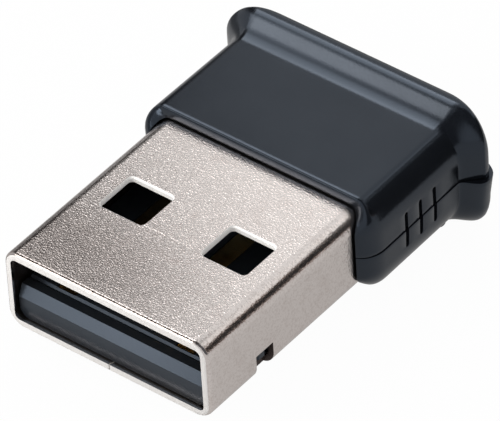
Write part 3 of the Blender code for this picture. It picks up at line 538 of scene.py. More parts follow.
@dataclass(frozen=True)
class TinnedPart(Finish):
    """A small surface part: a body between tinned ends, or over a tinned foot."""

    body: Colour = (0.02, 0.02, 0.022)
    fleck: Colour = (0.05, 0.05, 0.055)
    tin: Colour = (0.80, 0.79, 0.77)
    tin_shade: Colour = (0.5, 0.5, 0.49)
    span: Span = Span.ALONG_X
    low_end: float = 0.22
    high_end: float = 0.22
    end_blur: float = 0.015
    grain: float = 0.05 * MM
    depth: float = 0.004 * MM
    roughness: float = 0.45

    def paint(self, graph: Graph) -> bpy.types.NodeSocket:
        """Builds the nodes of the part.

        Args:
            graph: The material's empty graph.

        Returns:
            The shader's socket.
        """
        place = graph.place()
        share = graph.axes(graph.place("Generated"))[self.span.value]
        ends = share.step(self.low_end + self.end_blur, self.low_end - self.end_blur)
        if self.high_end > 0:
            start = 1 - self.high_end
            ends = ends + share.step(start - self.end_blur, start + self.end_blur)
        speck = graph.noise(place, self.grain, 3.0)
        ripple = graph.noise(place, 5 * self.grain, 2.0)
        body = graph.mix(speck.step(0.45, 0.75), self.body, self.fleck)
        metal = graph.mix(ripple * 0.4, self.tin, self.tin_shade)
        return graph.principled(
            {
                "Base Color": graph.mix(ends, body, metal),
                "Metallic": ends,
                "Roughness": self.roughness + speck * 0.15 - ends * 0.15,
                "Normal": graph.bump(speck * 0.5 + ripple, self.depth),
            }
        )


NICKEL = NickelPlate("nickel_on_sheet", "nickel_plate")
# Painted shade: the inner skin takes a darker, browner copy of the nickel, standing for the shade inside
# the plug.
NICKEL_INSIDE_SHADED = NickelPlate(
    "nickel_inside_painted_shade",
    "nickel_plate",
    light=(0.42, 0.34, 0.28),
    dark=(0.22, 0.17, 0.13),
    smooth=0.25,
    rough=0.4,
)
CUT_EDGE = CutEdge("sheared_sheet_edge", "nickel_plate")
# Painted light: the upper cut edges of the windows take a lighter, less metallic copy of the sheared
# edge, so that they look lit while the other cut edges stay darker.
WINDOW_EDGE_LIT = CutEdge(
    "window_edge_painted_light",
    "nickel_plate",
    colour=(0.97, 0.95, 0.92),
    shade=(0.86, 0.82, 0.78),
    metallic=0.1,
)
# Painted shade: the cut faces inside the side notches are made near black, standing for the shade in
# these recesses.
NOTCH_EDGE_SHADED = CutEdge(
    "notch_edge_painted_shade",
    "nickel_plate",
    colour=(0.07, 0.05, 0.045),
    shade=(0.035, 0.022, 0.02),
    metallic=0.6,
)
HOUSING_PLASTIC = MouldedPlastic("housing_satin", "housing_plastic")
TONGUE_PLASTIC = MouldedPlastic(
    "tongue_satin",
    "insulator_black",
    colour=(0.009, 0.011, 0.014),
    worn=(0.014, 0.017, 0.020),
    grain=0.07 * MM,
    roughness=0.26,
)
GOLD = GoldPlate("contact_gold_flash", "contact_gold")
LAMINATE = BoardLaminate("board_mask", "board_laminate")
RADIO_EPOXY = TinnedPart(
    "radio_chip_epoxy", "chip_epoxy", span=Span.ALONG_Z, low_end=0.22, high_end=0.0, roughness=0.5
)
LEADED_EPOXY = TinnedPart(
    "leaded_chip_epoxy", "chip_epoxy", span=Span.ALONG_Y, low_end=0.215, high_end=0.215, roughness=0.5
)
CRYSTAL_CAN = TinnedPart(
    "crystal_can",
    "crystal_metal",
    body=(0.78, 0.77, 0.73),
    fleck=(0.68, 0.66, 0.62),
    span=Span.ALONG_Z,
    low_end=0.0,
    high_end=0.34,
    roughness=0.35,
)
ANTENNA_CERAMIC = TinnedPart(
    "antenna_white_ceramic",
    "antenna_ceramic",
    body=(0.72, 0.76, 0.72),
    fleck=(0.60, 0.66, 0.62),
    low_end=0.14,
    high_end=0.14,
)
FILTER_CERAMIC = TinnedPart(
    "filter_grey_ceramic",
    "filter_ceramic",
    body=(0.30, 0.32, 0.37),
    fleck=(0.38, 0.40, 0.45),
    span=Span.ALONG_Y,
    low_end=0.19,
    high_end=0.19,
)
BEAD_FERRITE = TinnedPart(
    "bead_dark_ferrite", "bead_ferrite", body=(0.07, 0.07, 0.08), fleck=(0.12, 0.11, 0.12), roughness=0.6
)
CAPACITOR_CERAMIC = TinnedPart(
    "capacitor_buff_ceramic", "capacitor_ceramic", body=(0.42, 0.27, 0.15), fleck=(0.52, 0.35, 0.20)
)
RESISTOR_CERAMIC = TinnedPart(
    "resistor_glazed_ceramic", "resistor_ceramic", body=(0.015, 0.015, 0.018), fleck=(0.03, 0.03, 0.035)
)


def mix(a: float, b: float, t: float) -> float:
    """Runs from a to b as t runs from 0 to 1."""
    return a + (b - a) * t


def smooth(t: float) -> float:
    """Eases from 0 to 1 with level ends."""
    return t * t * (3 - 2 * t)


def arc(centre: Flat, radius: float, start: float, end: float, steps: int) -> list[Flat]:
    """Points on an arc, both ends included.

    Args:
        centre: The arc's centre.
        radius: Its radius.
        start: Its first angle in degrees.
        end: Its last angle in degrees.
        steps: How many chords it has.

    Returns:
        The points in order.
    """
    points = []
    for i in range(steps + 1):
        angle = math.radians(mix(start, end, i / steps))
        points.append((centre[0] + radius * math.cos(angle), centre[1] + radius * math.sin(angle)))
    return points


def rounded_rectangle(half_width: float, half_height: float, radius: float, steps: int) -> list[Flat]:
    """Points round a rectangle with round corners, from the right side upwards.

    Args:
        half_width: Half of its width.
        half_height: Half of its height.
        radius: The corners' radius.
        steps: How many chords each corner has.

    Returns:
        The points in order.
    """
    x = half_width - radius
    y = half_height - radius
    points = arc((x, y), radius, 0, 90, steps)
    points += arc((-x, y), radius, 90, 180, steps)
    points += arc((-x, -y), radius, 180, 270, steps)
    points += arc((x, -y), radius, 270, 360, steps)
    return points


def rectangle(low: Flat, high: Flat) -> list[Flat]:
    """Four corners of a rectangle between two of them."""
    return [(low[0], low[1]), (high[0], low[1]), (high[0], high[1]), (low[0], high[1])]


def mirrored(outline: Sequence[Flat]) -> list[Flat]:
    """An outline mirrored in X."""
    return [(-a, b) for a, b in reversed(outline)]


def ribbon(path: Sequence[Flat], width: float) -> list[Flat]:
    """The outline of a flat path of even width, with mitred corners.

    Args:
        path: The path's points.
        width: Its width.

    Returns:
        The outline's points in order.
    """
    left = []
    right = []
    for i, point in enumerate(path):
        here = Vector(point)
        first = (here - Vector(path[i - 1])).normalized() if i > 0 else None
        second = (Vector(path[i + 1]) - here).normalized() if i < len(path) - 1 else None
        along = first or second
        middle = ((first or second) + (second or first)).normalized()
        normal = Vector((-middle.y, middle.x))
        reach = width / 2 / (normal.x * -along.y + normal.y * along.x)
        left.append(tuple(here + normal * reach))
        right.append(tuple(here - normal * reach))
    return left + right[::-1]


def rounded_corner(before: Flat, corner: Flat, after: Flat, reach: float, steps: int) -> list[Flat]:
    """Replaces a corner by a smooth bend that touches both of its sides.

    Args:
        before: A point on the side that leads to the corner.
        corner: The corner.
        after: A point on the side that leads away.
        reach: How far from the corner the bend starts and ends.
        steps: How many chords the bend has.

    Returns:
        The bend's points, both ends included.
    """
    tip = Vector(corner)
    start = tip + (Vector(before) - tip).normalized() * reach
    end = tip + (Vector(after) - tip).normalized() * reach
    points = []
    for i in range(steps + 1):
        t = i / steps
        point = start * (1 - t) ** 2 + tip * (2 * t * (1 - t)) + end * t**2
        points.append((point.x, point.y))
    return points


class Axis(Enum):
    """The axis that an outline is extruded along."""

    X = 0
    Y = 1
    Z = 2

    def point(self, level: float, a: float, b: float) -> Point:
        """A point from its level on this axis and its other two coordinates in X, Y, Z order.

        Args:
            level: The coordinate along this axis.
            a: The first of the other two.
            b: The second of the other two.

        Returns:
            The point.
        """
        values = [a, b]
        values.insert(self.value, level)
        return (values[0], values[1], values[2])


class Solid:
    """A closed body in plug coordinates that cuts, joins and edge rounding work on."""

    def __init__(
        self, name: str, rings: Sequence[Sequence[Sequence[Point]]], closed: bool = False
    ) -> None:
        """Builds one body or several from lofts.

        Args:
            name: The object's name.
            rings: For each loft its rings, all of one length.
            closed: Whether a loft runs back to its first ring and has no caps.
        """
        shape = bmesh.new()
        for loft in rings:
            self._add_loft(shape, loft, closed)
        bmesh.ops.recalc_face_normals(shape, faces=shape.faces)
        mesh = bpy.data.meshes.new(name)
        shape.to_mesh(mesh)
        shape.free()
        self.item = bpy.data.objects.new(name, mesh)
        bpy.context.scene.collection.objects.link(self.item)

    @staticmethod
    def _add_loft(shape: bmesh.types.BMesh, rings: Sequence[Sequence[Point]], closed: bool) -> None:
        """Joins rings with quads; a ring of one point is a tip.

        Args:
            shape: The mesh that gets the faces.
            rings: The loft's rings, in order.
            closed: Whether the last ring joins the first one, without caps.
        """
        rows = [[shape.verts.new(point) for point in ring] for ring in rings]
        following = rows[1:] + rows[:1] if closed else rows[1:]
        for one, two in zip(rows, following):
            count = max(len(one), len(two))
            for i in range(count):
                j = (i + 1) % count
                corners = [one[i % len(one)], one[j % len(one)], two[j % len(two)], two[i % len(two)]]
                shape.faces.new(list(dict.fromkeys(corners)))
        if not closed:
            for end in (rows[0], rows[-1]):
                if len(end) > 1:
                    shape.faces.new(end)

    @classmethod
    def prisms(
        cls, name: str, outlines: Sequence[Sequence[Flat]], axis: Axis, low: float, high: float
    ) -> "Solid":
        """Extrudes flat outlines along an axis.

        Args:
            name: The object's name.
            outlines: The outlines; each becomes a body.
            axis: The axis that they are extruded along.
            low: Where the bodies start on it.
            high: Where they end.

        Returns:
            The new solid.
        """
        lofts = []
        for outline in outlines:
            lofts.append([[axis.point(level, a, b) for a, b in outline] for level in (low, high)])
        return cls(name, lofts)

    def _bake(self) -> None:
        """Applies the object's modifiers to its mesh."""
        graph = bpy.context.evaluated_depsgraph_get()
        mesh = bpy.data.meshes.new_from_object(self.item.evaluated_get(graph))
        old = self.item.data
        self.item.modifiers.clear()
        self.item.data = mesh
        bpy.data.meshes.remove(old)

    def _combine(self, tool: "Solid", operation: str, keep: bool) -> "Solid":
        """Applies one exact Boolean and drops its tool.

        Args:
            tool: The other solid.
            operation: Blender's name for the Boolean.
            keep: Whether the other solid stays in the scene.

        Returns:
            The solid itself.
        """
        modifier = self.item.modifiers.new(operation, "BOOLEAN")
        modifier.operation = operation
        modifier.solver = "EXACT"
        modifier.object = tool.item
        self._bake()
        if not keep:
            tool.drop()
        return self

    def cut(self, tool: "Solid", keep: bool = False) -> "Solid":
        """Cuts another solid away, which is dropped unless it is kept."""
        return self._combine(tool, "DIFFERENCE", keep)

    def join(self, tool: "Solid") -> "Solid":
        """Adds another solid, which is dropped."""
        return self._combine(tool, "UNION", False)

    def drop(self) -> None:
        """Removes the solid from the scene."""
        mesh = self.item.data
        bpy.data.objects.remove(self.item)
        bpy.data.meshes.remove(mesh)

    def round_edges(self, width: float, segments: int = 2, angle: float = 38.0) -> "Solid":
        """Rounds every edge that turns by more than an angle.

        Args:
            width: How far from the edge the rounding starts.
            segments: How many facets it has.
            angle: The least angle between two faces, in degrees.

        Returns:
            The solid itself.
        """
        modifier = self.item.modifiers.new("round_edges", "BEVEL")
        modifier.width = width
        modifier.segments = segments
        modifier.limit_method = "ANGLE"
        modifier.angle_limit = math.radians(angle)
        modifier.use_clamp_overlap = True
        self._bake()
        return self

    def dress(
        self,
        origin: Vector,
        finishes: Sequence[Finish],
        pick: Callable[[bpy.types.MeshPolygon], int] | None = None,
        sharp: float = 32.0,
    ) -> bpy.types.Object:
        """Puts the solid in its place with its finishes and smooth shading.

        Args:
            origin: Where the plug's mouth and axis are in the frame.
            finishes: The finishes that its faces take.
            pick: Which finish a face takes; the first one if not given.
            sharp: The angle in degrees above which an edge stays sharp.

        Returns:
            The finished object.
        """
        mesh = self.item.data
        mesh.materials.clear()
        for finish in finishes:
            mesh.materials.append(finish.material())
        for face in mesh.polygons:
            face.material_index = pick(face) if pick else 0
        mesh.shade_smooth()
        mesh.set_sharp_from_angle(angle=math.radians(sharp))
        weighted = self.item.modifiers.new("weighted", "WEIGHTED_NORMAL")
        weighted.keep_sharp = True
        self._bake()
        self.item.location = origin
        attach(self.item, "root")
        return self.item


@dataclass(frozen=True)
class Fits:
    """The clearances that neighbouring pieces keep."""

    gap: float = 0.05 * MM
    parting: float = 0.05 * MM
    embed: float = 0.25 * MM


class SheetSide(Enum):
    """The sides of the folded sheet, in the order of the shell's materials."""

    OUTER = 0
    SHEARED = 1
    INNER = 2
    NOTCH = 3
    WINDOW = 4


SHEET_FINISHES = {
    SheetSide.OUTER: NICKEL,
    SheetSide.SHEARED: CUT_EDGE,
    SheetSide.INNER: NICKEL_INSIDE_SHADED,
    SheetSide.NOTCH: NOTCH_EDGE_SHADED,
    SheetSide.WINDOW: WINDOW_EDGE_LIT,
}


@dataclass
class PlugShell:
    """The folded sheet of the plug, with its bent-in mouth, windows, notches and dovetailed seam."""

    origin: Vector
    width: float
    height: float
    length: float
    sheet: float = 0.3 * MM
    bend: float = 0.85 * MM
    tuck: float = 0.12 * MM
    side_tuck: float = 0.26 * MM
    roll: float = 0.22 * MM
    lead_in: float = 0.45 * MM
    window_width: float = 2.65 * MM
    window_length: float = 2.4 * MM
    window_front: float = 4.95 * MM
    window_offset: float = 3.0 * MM
    window_corner: float = 0.25 * MM
    notch_front: float = 3.4 * MM
    notch_length: float = 1.25 * MM
    notch_height: float = 1.5 * MM
    notch_depth: float = 0.65 * MM
    seam_gap: float = 0.06 * MM
    seam_key_front: float = 7.6 * MM
    seam_key_length: float = 2.0 * MM
    seam_key_reach: float = 0.9 * MM
    seam_key_flare: float = 0.25 * MM
    catch_offset: float = 3.2 * MM
    catch_width: float = 1.6 * MM
    catch_length: float = 0.7 * MM
    catch_from_end: float = 0.6 * MM
    window_break: float = 0.08 * MM
    edge: float = 0.05 * MM
    bend_steps: int = 14
    roll_steps: int = 6
    length_steps: int = 12
    window_steps: int = 6

    @property
    def inner_width(self) -> float:
        """The width between the side walls."""
        return self.width - 2 * self.sheet

    @property
    def inner_height(self) -> float:
        """The height between floor and roof."""
        return self.height - 2 * self.sheet

    @property
    def inner_bend(self) -> float:
        """The inner radius of the bends."""
        return self.bend - self.sheet

    @property
    def catch_middle(self) -> float:
        """Where the catch windows are along the plug."""
        return self.length - self.catch_from_end - self.catch_length / 2

    def _outer_ring(self, y: float, draw: float) -> list[Point]:
        """One section of the outer skin.

        Args:
            y: Where the section is along the plug.
            draw: 0 on the tube, 1 where the mouth is tucked in.

        Returns:
            The section's points.
        """
        half_width = self.width / 2 - self.side_tuck * draw
        half_height = self.height / 2 - self.tuck * draw
        radius = self.bend - self.tuck * draw
        section = rounded_rectangle(half_width, half_height, radius, self.bend_steps)
        return [(x, y, z) for x, z in section]

    def _inner_ring(self, y: float, draw: float) -> list[Point]:
        """One section of the inner skin.

        Args:
            y: Where the section is along the plug.
            draw: 0 on the tube, 1 where the mouth is tucked in.

        Returns:
            The section's points.
        """
        half_width = self.inner_width / 2 - self.tuck * draw
        half_height = self.inner_height / 2 - self.tuck * draw
        radius = self.inner_bend - 2 * self.tuck * draw
        section = rounded_rectangle(half_width, half_height, radius, self.bend_steps)
        return [(x, y, z) for x, z in section]

    def _tube(self) -> Solid:
        """The plain tube with its rolled mouth.

        Returns:
            The closed body of the bare sheet.
        """
        rings = []
        for i in range(self.roll_steps + 1):
            angle = math.pi / 2 * i / self.roll_steps
            rings.append(self._outer_ring(self.roll * (1 - math.cos(angle)), 1 - math.sin(angle)))
        for i in range(1, self.length_steps + 1):
            rings.append(self._outer_ring(mix(self.roll, self.length, i / self.length_steps), 0.0))
        for i in range(self.length_steps + 1):
            rings.append(self._inner_ring(mix(self.length, self.lead_in, i / self.length_steps), 0.0))
        for i in range(1, self.roll_steps + 1):
            t = i / self.roll_steps
            rings.append(self._inner_ring(mix(self.lead_in, 0.0, t), smooth(t)))
        return Solid("plug_sheet", [rings], closed=True)

    def _windows(self, size: Flat, middle: Flat, corner: float) -> list[list[Flat]]:
        """Two windows seen from above, right and left of the plug's middle.

        Args:
            size: A window's width and length.
            middle: The right window's middle.
            corner: The radius of its corners.

        Returns:
            The outlines of both windows.
        """
        outline = []
        for x, y in rounded_rectangle(size[0] / 2, size[1] / 2, corner, self.window_steps):
            outline.append((x + middle[0], y + middle[1]))
        return [outline, mirrored(outline)]

    def _window_funnels(self, middle: Flat) -> Solid:
        """Two shallow funnels that break the upper rims of the contact windows.

        Args:
            middle: The middle of the right window.

        Returns:
            The two bodies to cut away.
        """
        overlap = 0.25 * self.window_break
        lofts = [[], []]
        for rise in (overlap, -self.window_break - overlap):
            grow = self.window_break + rise
            size = (self.window_width + grow, self.window_length + 2 * grow)
            outlines = self._windows(size, middle, self.window_corner + grow / 2)
            for loft, outline in zip(lofts, outlines):
                loft.append([(x, y, self.height / 2 + rise) for x, y in outline])
        return Solid("window_funnels", lofts)

    def _seam(self) -> list[Flat]:
        """The outline of the butt joint with its dovetail key.

        Returns:
            The outline, seen from above.
        """
        rear = self.seam_key_front + self.seam_key_length
        path = [
            (0.0, -self.height),
            (0.0, self.seam_key_front),
            (self.seam_key_reach, self.seam_key_front - self.seam_key_flare),
            (self.seam_key_reach, rear + self.seam_key_flare),
            (0.0, rear),
            (0.0, self.length + self.height),
        ]
        return ribbon(path, self.seam_gap)

    def _side_of(self, face: bpy.types.MeshPolygon) -> int:
        """Which side of the sheet a face belongs to.

        Args:
            face: A face of the finished sheet.

        Returns:
            The number of its side.
        """
        x, y, z = face.center
        if y < 0.4 * self.edge:
            return SheetSide.SHEARED.value
        skins = (
            (SheetSide.OUTER, self.width / 2, self.height / 2, self.bend),
            (SheetSide.INNER, self.inner_width / 2, self.inner_height / 2, self.inner_bend),
        )
        for side, half_width, half_height, bend in skins:
            out_x = abs(x) - (half_width - bend)
            out_z = abs(z) - (half_height - bend)
            if out_x > 0 and out_z > 0:
                away = math.hypot(out_x, out_z) - bend
            else:
                away = max(out_x, out_z) - bend
            if abs(away) < 0.1 * self.edge:
                return side.value
            if side is SheetSide.INNER and y < self.lead_in and away < self.sheet / 2:
                return side.value if y > self.tuck else SheetSide.OUTER.value
        low = z < self.notch_height - self.height / 2 + self.edge
        notch_rear = self.notch_front + self.notch_length
        if low and abs(x) > self.width / 4 and self.notch_front - self.edge < y < notch_rear + self.edge:
            return SheetSide.NOTCH.value
        if y < self.lead_in:
            return SheetSide.OUTER.value
        return SheetSide.WINDOW.value if z > 0 else SheetSide.SHEARED.value

    def build(self) -> bpy.types.Object:
        """Folds, punches and dresses the shell.

        Returns:
            The shell's object.
        """
        shell = self._tube()
        window_middle = (self.window_offset, self.window_front + self.window_length / 2)
        window_size = (self.window_width, self.window_length)
        windows = self._windows(window_size, window_middle, self.window_corner)
        catch_size = (self.catch_width, self.catch_length)
        catches = self._windows(catch_size, (self.catch_offset, self.catch_middle), self.edge)
        shell.cut(Solid.prisms("windows", windows + catches, Axis.Z, -self.height, self.height))
        shell.cut(self._window_funnels(window_middle))
        side = self.width / 2
        floor = -self.height / 2
        notch = rectangle(
            (side - self.notch_depth, floor - self.height),
            (side + self.notch_depth, floor + self.notch_height),
        )
        pair = [notch, mirrored(notch)]
        notch_rear = self.notch_front + self.notch_length
        shell.cut(Solid.prisms("notches", pair, Axis.Y, self.notch_front, notch_rear))
        seam_top = floor + 2 * self.sheet
        shell.cut(Solid.prisms("seam", [self._seam()], Axis.Z, floor - self.sheet, seam_top))
        shell.round_edges(self.edge, 3)
        finishes = [SHEET_FINISHES[side] for side in SheetSide]
        piece = shell.dress(self.origin, finishes, self._side_of)
        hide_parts("plug_shell")
        return piece


@dataclass
class PlugInsulator:
    """The moulded tongue with its contact grooves, the base behind it and a bump in each side notch."""

    shell: PlugShell
    fits: Fits
    thickness: float = 1.8 * MM
    side_gap: float = 0.15 * MM
    setback: float = 0.35 * MM
    chamfer_depth: float = 0.28 * MM
    chamfer_drop: float = 0.62 * MM
    base_length: float = 2.6 * MM
    rear: float = 11.85 * MM
    bump_length: float = 0.8 * MM
    bump_reach: float = 0.25 * MM
    bump_height: float = 0.45 * MM
    contact_width: float = 1.0 * MM
    contact_thickness: float = 0.2 * MM
    contact_recess: float = 0.03 * MM
    contact_hook: float = 0.4 * MM
    contact_places: tuple[Flat, ...] = (
        (-3.5 * MM, 1.4 * MM),
        (-1.0 * MM, 2.4 * MM),
        (1.0 * MM, 2.4 * MM),
        (3.5 * MM, 1.4 * MM),
    )
    channel_front: float = 1.1 * MM
    channel_rear: float = 1.36 * MM
    channel_depth: float = 0.11 * MM
    edge: float = 0.06 * MM
    sharp: float = 16.0
    bend_steps: int = 8

    @property
    def floor(self) -> float:
        """The underside of the moulding."""
        return -self.shell.inner_height / 2 + self.fits.gap

    @property
    def top(self) -> float:
        """The tongue's upper face."""
        return self.floor + self.thickness

    @property
    def tongue_half(self) -> float:
        """Half of the tongue's width."""
        return self.shell.inner_width / 2 - self.side_gap

    def _section(self, y: float, top: float) -> list[Point]:
        """A section with round lower corners that follow the sheet's bends.

        Args:
            y: Where the section is along the plug.
            top: The height of its upper side.

        Returns:
            The section's points.
        """
        radius = self.shell.inner_bend
        x = self.tongue_half - radius
        z = self.floor + radius
        outline = arc((-x, z), radius, 180, 270, self.bend_steps)
        outline += arc((x, z), radius, 270, 360, self.bend_steps)
        outline += [(self.tongue_half, top), (-self.tongue_half, top)]
        return [(a, y, b) for a, b in outline]

    def _groove(self, front: float) -> list[Flat]:
        """Side view of the room that one contact needs in the tongue and through the base.

        Args:
            front: Where the contact starts along the plug.

        Returns:
            The outline in Y and Z.
        """
        contact_top = self.top - self.contact_recess
        under = contact_top - self.contact_thickness - self.fits.gap
        hook_under = contact_top - self.contact_thickness - self.contact_hook - self.fits.gap
        open_top = self.top + self.contact_thickness
        hook_rear = front + self.contact_thickness + self.fits.gap
        base_face = self.rear - self.base_length + self.contact_thickness
        far = self.rear + self.base_length
        return [
            (front - self.fits.gap, open_top),
            (front - self.fits.gap, hook_under),
            (hook_rear, hook_under),
            (hook_rear, under),
            (far, under),
            (far, contact_top + self.fits.gap),
            (base_face, contact_top + self.fits.gap),
            (base_face, open_top),
        ]

    def build(self) -> bpy.types.Object:
        """Moulds and dresses the insulator.

        Returns:
            The insulator's object.
        """
        base_front = self.rear - self.base_length
        levels = (
            (self.setback, self.top - self.chamfer_drop),
            (self.setback + self.chamfer_depth, self.top),
            (self.channel_front, self.top),
            (self.channel_front + self.channel_depth, self.top - self.channel_depth),
            (self.channel_rear - self.channel_depth, self.top - self.channel_depth),
            (self.channel_rear, self.top),
            (base_front + self.base_length / 2, self.top),
        )
        tongue = Solid("plug_tongue", [[self._section(y, top) for y, top in levels]])
        shell = self.shell
        section = rounded_rectangle(
            shell.inner_width / 2 - self.fits.gap,
            shell.inner_height / 2 - self.fits.gap,
            shell.inner_bend,
            self.bend_steps,
        )
        tongue.join(Solid("base", [[[(x, y, z) for x, z in section] for y in (base_front, self.rear)]]))
        middle = shell.notch_front + shell.notch_length / 2
        tip = self.tongue_half + self.bump_reach
        bump = [
            (self.tongue_half - self.fits.embed, middle - self.bump_length / 2),
            (self.tongue_half, middle - self.bump_length / 2),
            (tip, middle - self.bump_length / 4),
            (tip, middle + self.bump_length / 4),
            (self.tongue_half, middle + self.bump_length / 2),
            (self.tongue_half - self.fits.embed, middle + self.bump_length / 2),
        ]
        low = self.floor + shell.inner_bend
        tongue.join(Solid.prisms("bumps", [bump, mirrored(bump)], Axis.Z, low, low + self.bump_height))
        grooves = []
        for x, front in self.contact_places:
            half = self.contact_width / 2 + self.fits.gap
            outline = self._groove(front)
            grooves.append([[(level, y, z) for y, z in outline] for level in (x - half, x + half)])
        tongue.cut(Solid("grooves", grooves))
        tongue.round_edges(self.edge, 3, self.sharp)
        piece = tongue.dress(shell.origin, [TONGUE_PLASTIC], sharp=self.sharp)
        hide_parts("plug_insulator")
        return piece


class Half(Enum):
    """The two mouldings of the housing: above and below the parting line."""

    UPPER = 1
    LOWER = -1


@dataclass(frozen=True)
class HalfShape:
    """What differs between the outer shapes of the two mouldings."""

    step_body: float
    step_lip: float
    trim: float
    nose: float
    fullness: float
    speed: float


SHAPES = {
    Half.UPPER: HalfShape(step_body=0.0, step_lip=0.0, trim=0.0, nose=0.3 * MM, fullness=6.0, speed=1.1),
    Half.LOWER: HalfShape(
        step_body=0.04 * MM, step_lip=0.2 * MM, trim=0.1 * MM, nose=1.2 * MM, fullness=2.5, speed=2.7
    ),
}


@dataclass
class Housing:
    """The two-part moulded housing: square cheeks at the front, a long panel and a flared rear lip."""

    shell: PlugShell
    fits: Fits
    half_width: float = 6.85 * MM
    half_height: float = 2.85 * MM
    front: float = 11.5 * MM
    rear: float = 20.0 * MM
    panel_inset: float = 1.0 * MM
    corner_reach: float = 1.5 * MM
    side_flat: float = 2.0 * MM
    taper: float = 0.06 * MM
    crease_round: float = 0.16 * MM
    mouth_flare: float = 0.06 * MM
    mouth_depth: float = 0.35 * MM
    cheek_reach: float = 0.8 * MM
    cheek_nose: float = 1.3 * MM
    cheek_fullness: float = 2.0
    lip_flare: float = 0.81 * MM
    lip_rise: float = 0.62 * MM
    lip_corner: float = 1.9 * MM
    sweep: float = 1.8 * MM
    side_delay: float = 0.35 * MM
    side_ease: float = 0.35
    ramp_foot: float = 0.5
    ramp_shoulder: float = 0.25
    rim: float = 0.08 * MM
    rim_side_lead: float = 0.45 * MM
    crown: float = 0.8 * MM
    crown_width_fullness: float = 4.0
    crown_depth_fullness: float = 2.2
    rear_side_flat: float = 0.5 * MM
    rear_wall: float = 0.8 * MM
    groove_count: int = 3
    groove_width: float = 0.24 * MM
    groove_height: float = 2.1 * MM
    groove_depth: float = 0.2 * MM
    groove_first: float = 2.2 * MM
    groove_last: float = 1.45 * MM
    lap_thickness: float = 0.3 * MM
    lap_height: float = 0.35 * MM
    lap_front: float = 1.3 * MM
    rib_length: float = 0.6 * MM
    stop_rib_start: float = 0.45 * MM
    clamp_bite: float = 0.3 * MM
    clamp_rear: float = 2.0 * MM
    rib_embed: float = 0.15 * MM
    pillar_radius: float = 0.5 * MM
    pillar_rear: float = 1.25 * MM
    pillar_rise: float = 0.3 * MM
    pillar_inset: float = 0.3 * MM
    catch_depth: float = 0.2 * MM
    board_half_width: float = 5.4 * MM
    board_top: float = -0.56 * MM
    board_thickness: float = 0.6 * MM
    edge: float = 0.035 * MM
    side_steps: int = 5
    corner_steps: int = 14
    crease_steps: int = 4
    top_steps: int = 8
    nose_steps: int = 10
    body_steps: int = 10
    sweep_steps: int = 18
    crown_steps: int = 16
    bend_steps: int = 10
    groove_steps: int = 8
    pillar_steps: int = 24

    @property
    def bore_half_width(self) -> float:
        """Half of the bore's width."""
        return self.shell.width / 2 + self.fits.gap

    @property
    def bore_half_height(self) -> float:
        """Half of the bore's height."""
        return self.shell.height / 2 + self.fits.gap

    @property
    def bore_bend(self) -> float:
        """The radius of the bore's corners."""
        return self.shell.bend + self.fits.gap

    @property
    def rim_rear(self) -> float:
        """Where the rim's outer band ends and the rear crown starts."""
        return self.rear - self.crown

    @property
    def sweep_front(self) -> float:
        """Where the lip starts to flare."""
        return self.rim_rear - self.rim - self.sweep

    @property
    def cavity_rear(self) -> float:
        """The inner face of the rear wall."""
        return self.rim_rear - self.rear_wall

    @property
    def lip_half_height(self) -> float:
        """Half of the lip's height."""
        return self.half_height + self.lip_rise

    def _section(self, half: Half, widen: float, lift: float, taper: float, corner: float) -> list[Flat]:
        """A quarter of the skin's section, from the parting line up to the middle of the panel.

        Args:
            half: Which moulding.
            widen: 0 on the body, 1 at the lip's full width.
            lift: 0 on the body, 1 at the lip's full height.
            taper: 0 at the front, 1 at the neck.
            corner: The lip's corner reach.

        Returns:
            The quarter's points.
        """
        shape = SHAPES[half]
        step = mix(shape.step_body, shape.step_lip, widen)
        crease = math.acos(1 - self.panel_inset / self.corner_reach)
        half_width = mix(self.half_width - self.taper * taper, self.half_width + self.lip_flare, widen)
        half_height = mix(self.half_height - shape.trim, self.lip_half_height, lift)
        reach = mix(self.corner_reach, corner, widen)
        crease = mix(crease, math.pi / 2, widen)
        flat = mix(self.side_flat / 2, self.lip_half_height - corner, widen)
        drop = (half_height - flat) / math.sin(crease)
        points = []
        for i in range(self.side_steps):
            t = i / self.side_steps
            points.append((half_width + step * (1 - t), flat * t))
        for i in range(self.corner_steps):
            angle = crease * i / self.corner_steps
            points.append((half_width - reach * (1 - math.cos(angle)), flat + drop * math.sin(angle)))
        crease_point = (half_width - reach * (1 - math.cos(crease)), half_height)
        middle = (0.0, half_height)
        points += rounded_corner(points[-1], crease_point, middle, self.crease_round, self.crease_steps)
        last = points[-1][0]
        for i in range(1, self.top_steps + 1):
            points.append((last * (1 - i / self.top_steps), half_height))
        return points

    def _bore_section(self) -> list[Flat]:
        """The quarter that the nose starts from, just inside the bore, with as many points.

        Returns:
            The quarter's points.
        """
        radius = self.bore_bend - self.fits.embed
        x = self.bore_half_width - self.bore_bend
        z = self.bore_half_height - self.bore_bend
        points = [(x + radius, z * i / self.side_steps) for i in range(self.side_steps)]
        points += arc((x, z), radius, 0, 90, self.corner_steps + self.crease_steps)
        points += [(x * (1 - i / self.top_steps), z + radius) for i in range(1, self.top_steps + 1)]
        return points

    def _cavity_rings(self) -> list[list[Point]]:
        """The sections of the hollow, which opens a little round the plug at the mouth.

        Returns:
            The rings in order.
        """
        places = (
            (self.front - 2 * self.half_width, self.mouth_flare),
            (self.front, self.mouth_flare),
            (self.front + self.mouth_depth, 0.0),
            (self.cavity_rear, 0.0),
        )
        rings = []
        for y, wider in places:
            section = rounded_rectangle(
                self.bore_half_width + wider,
                self.bore_half_height + wider,
                self.bore_bend + wider,
                self.bend_steps,
            )
            rings.append([(x, y, z) for x, z in section])
        return rings

    def _topness(self) -> list[float]:
        """For each quarter point, 0 on the side and 1 on the panel, eased over the corner.

        Returns:
            One number for each point of a quarter.
        """
        corner = self.corner_steps + self.crease_steps
        values = [0.0] * self.side_steps
        values += [smooth(min(i / self.corner_steps, 1.0)) for i in range(corner + 1)]
        values += [1.0] * self.top_steps
        return values

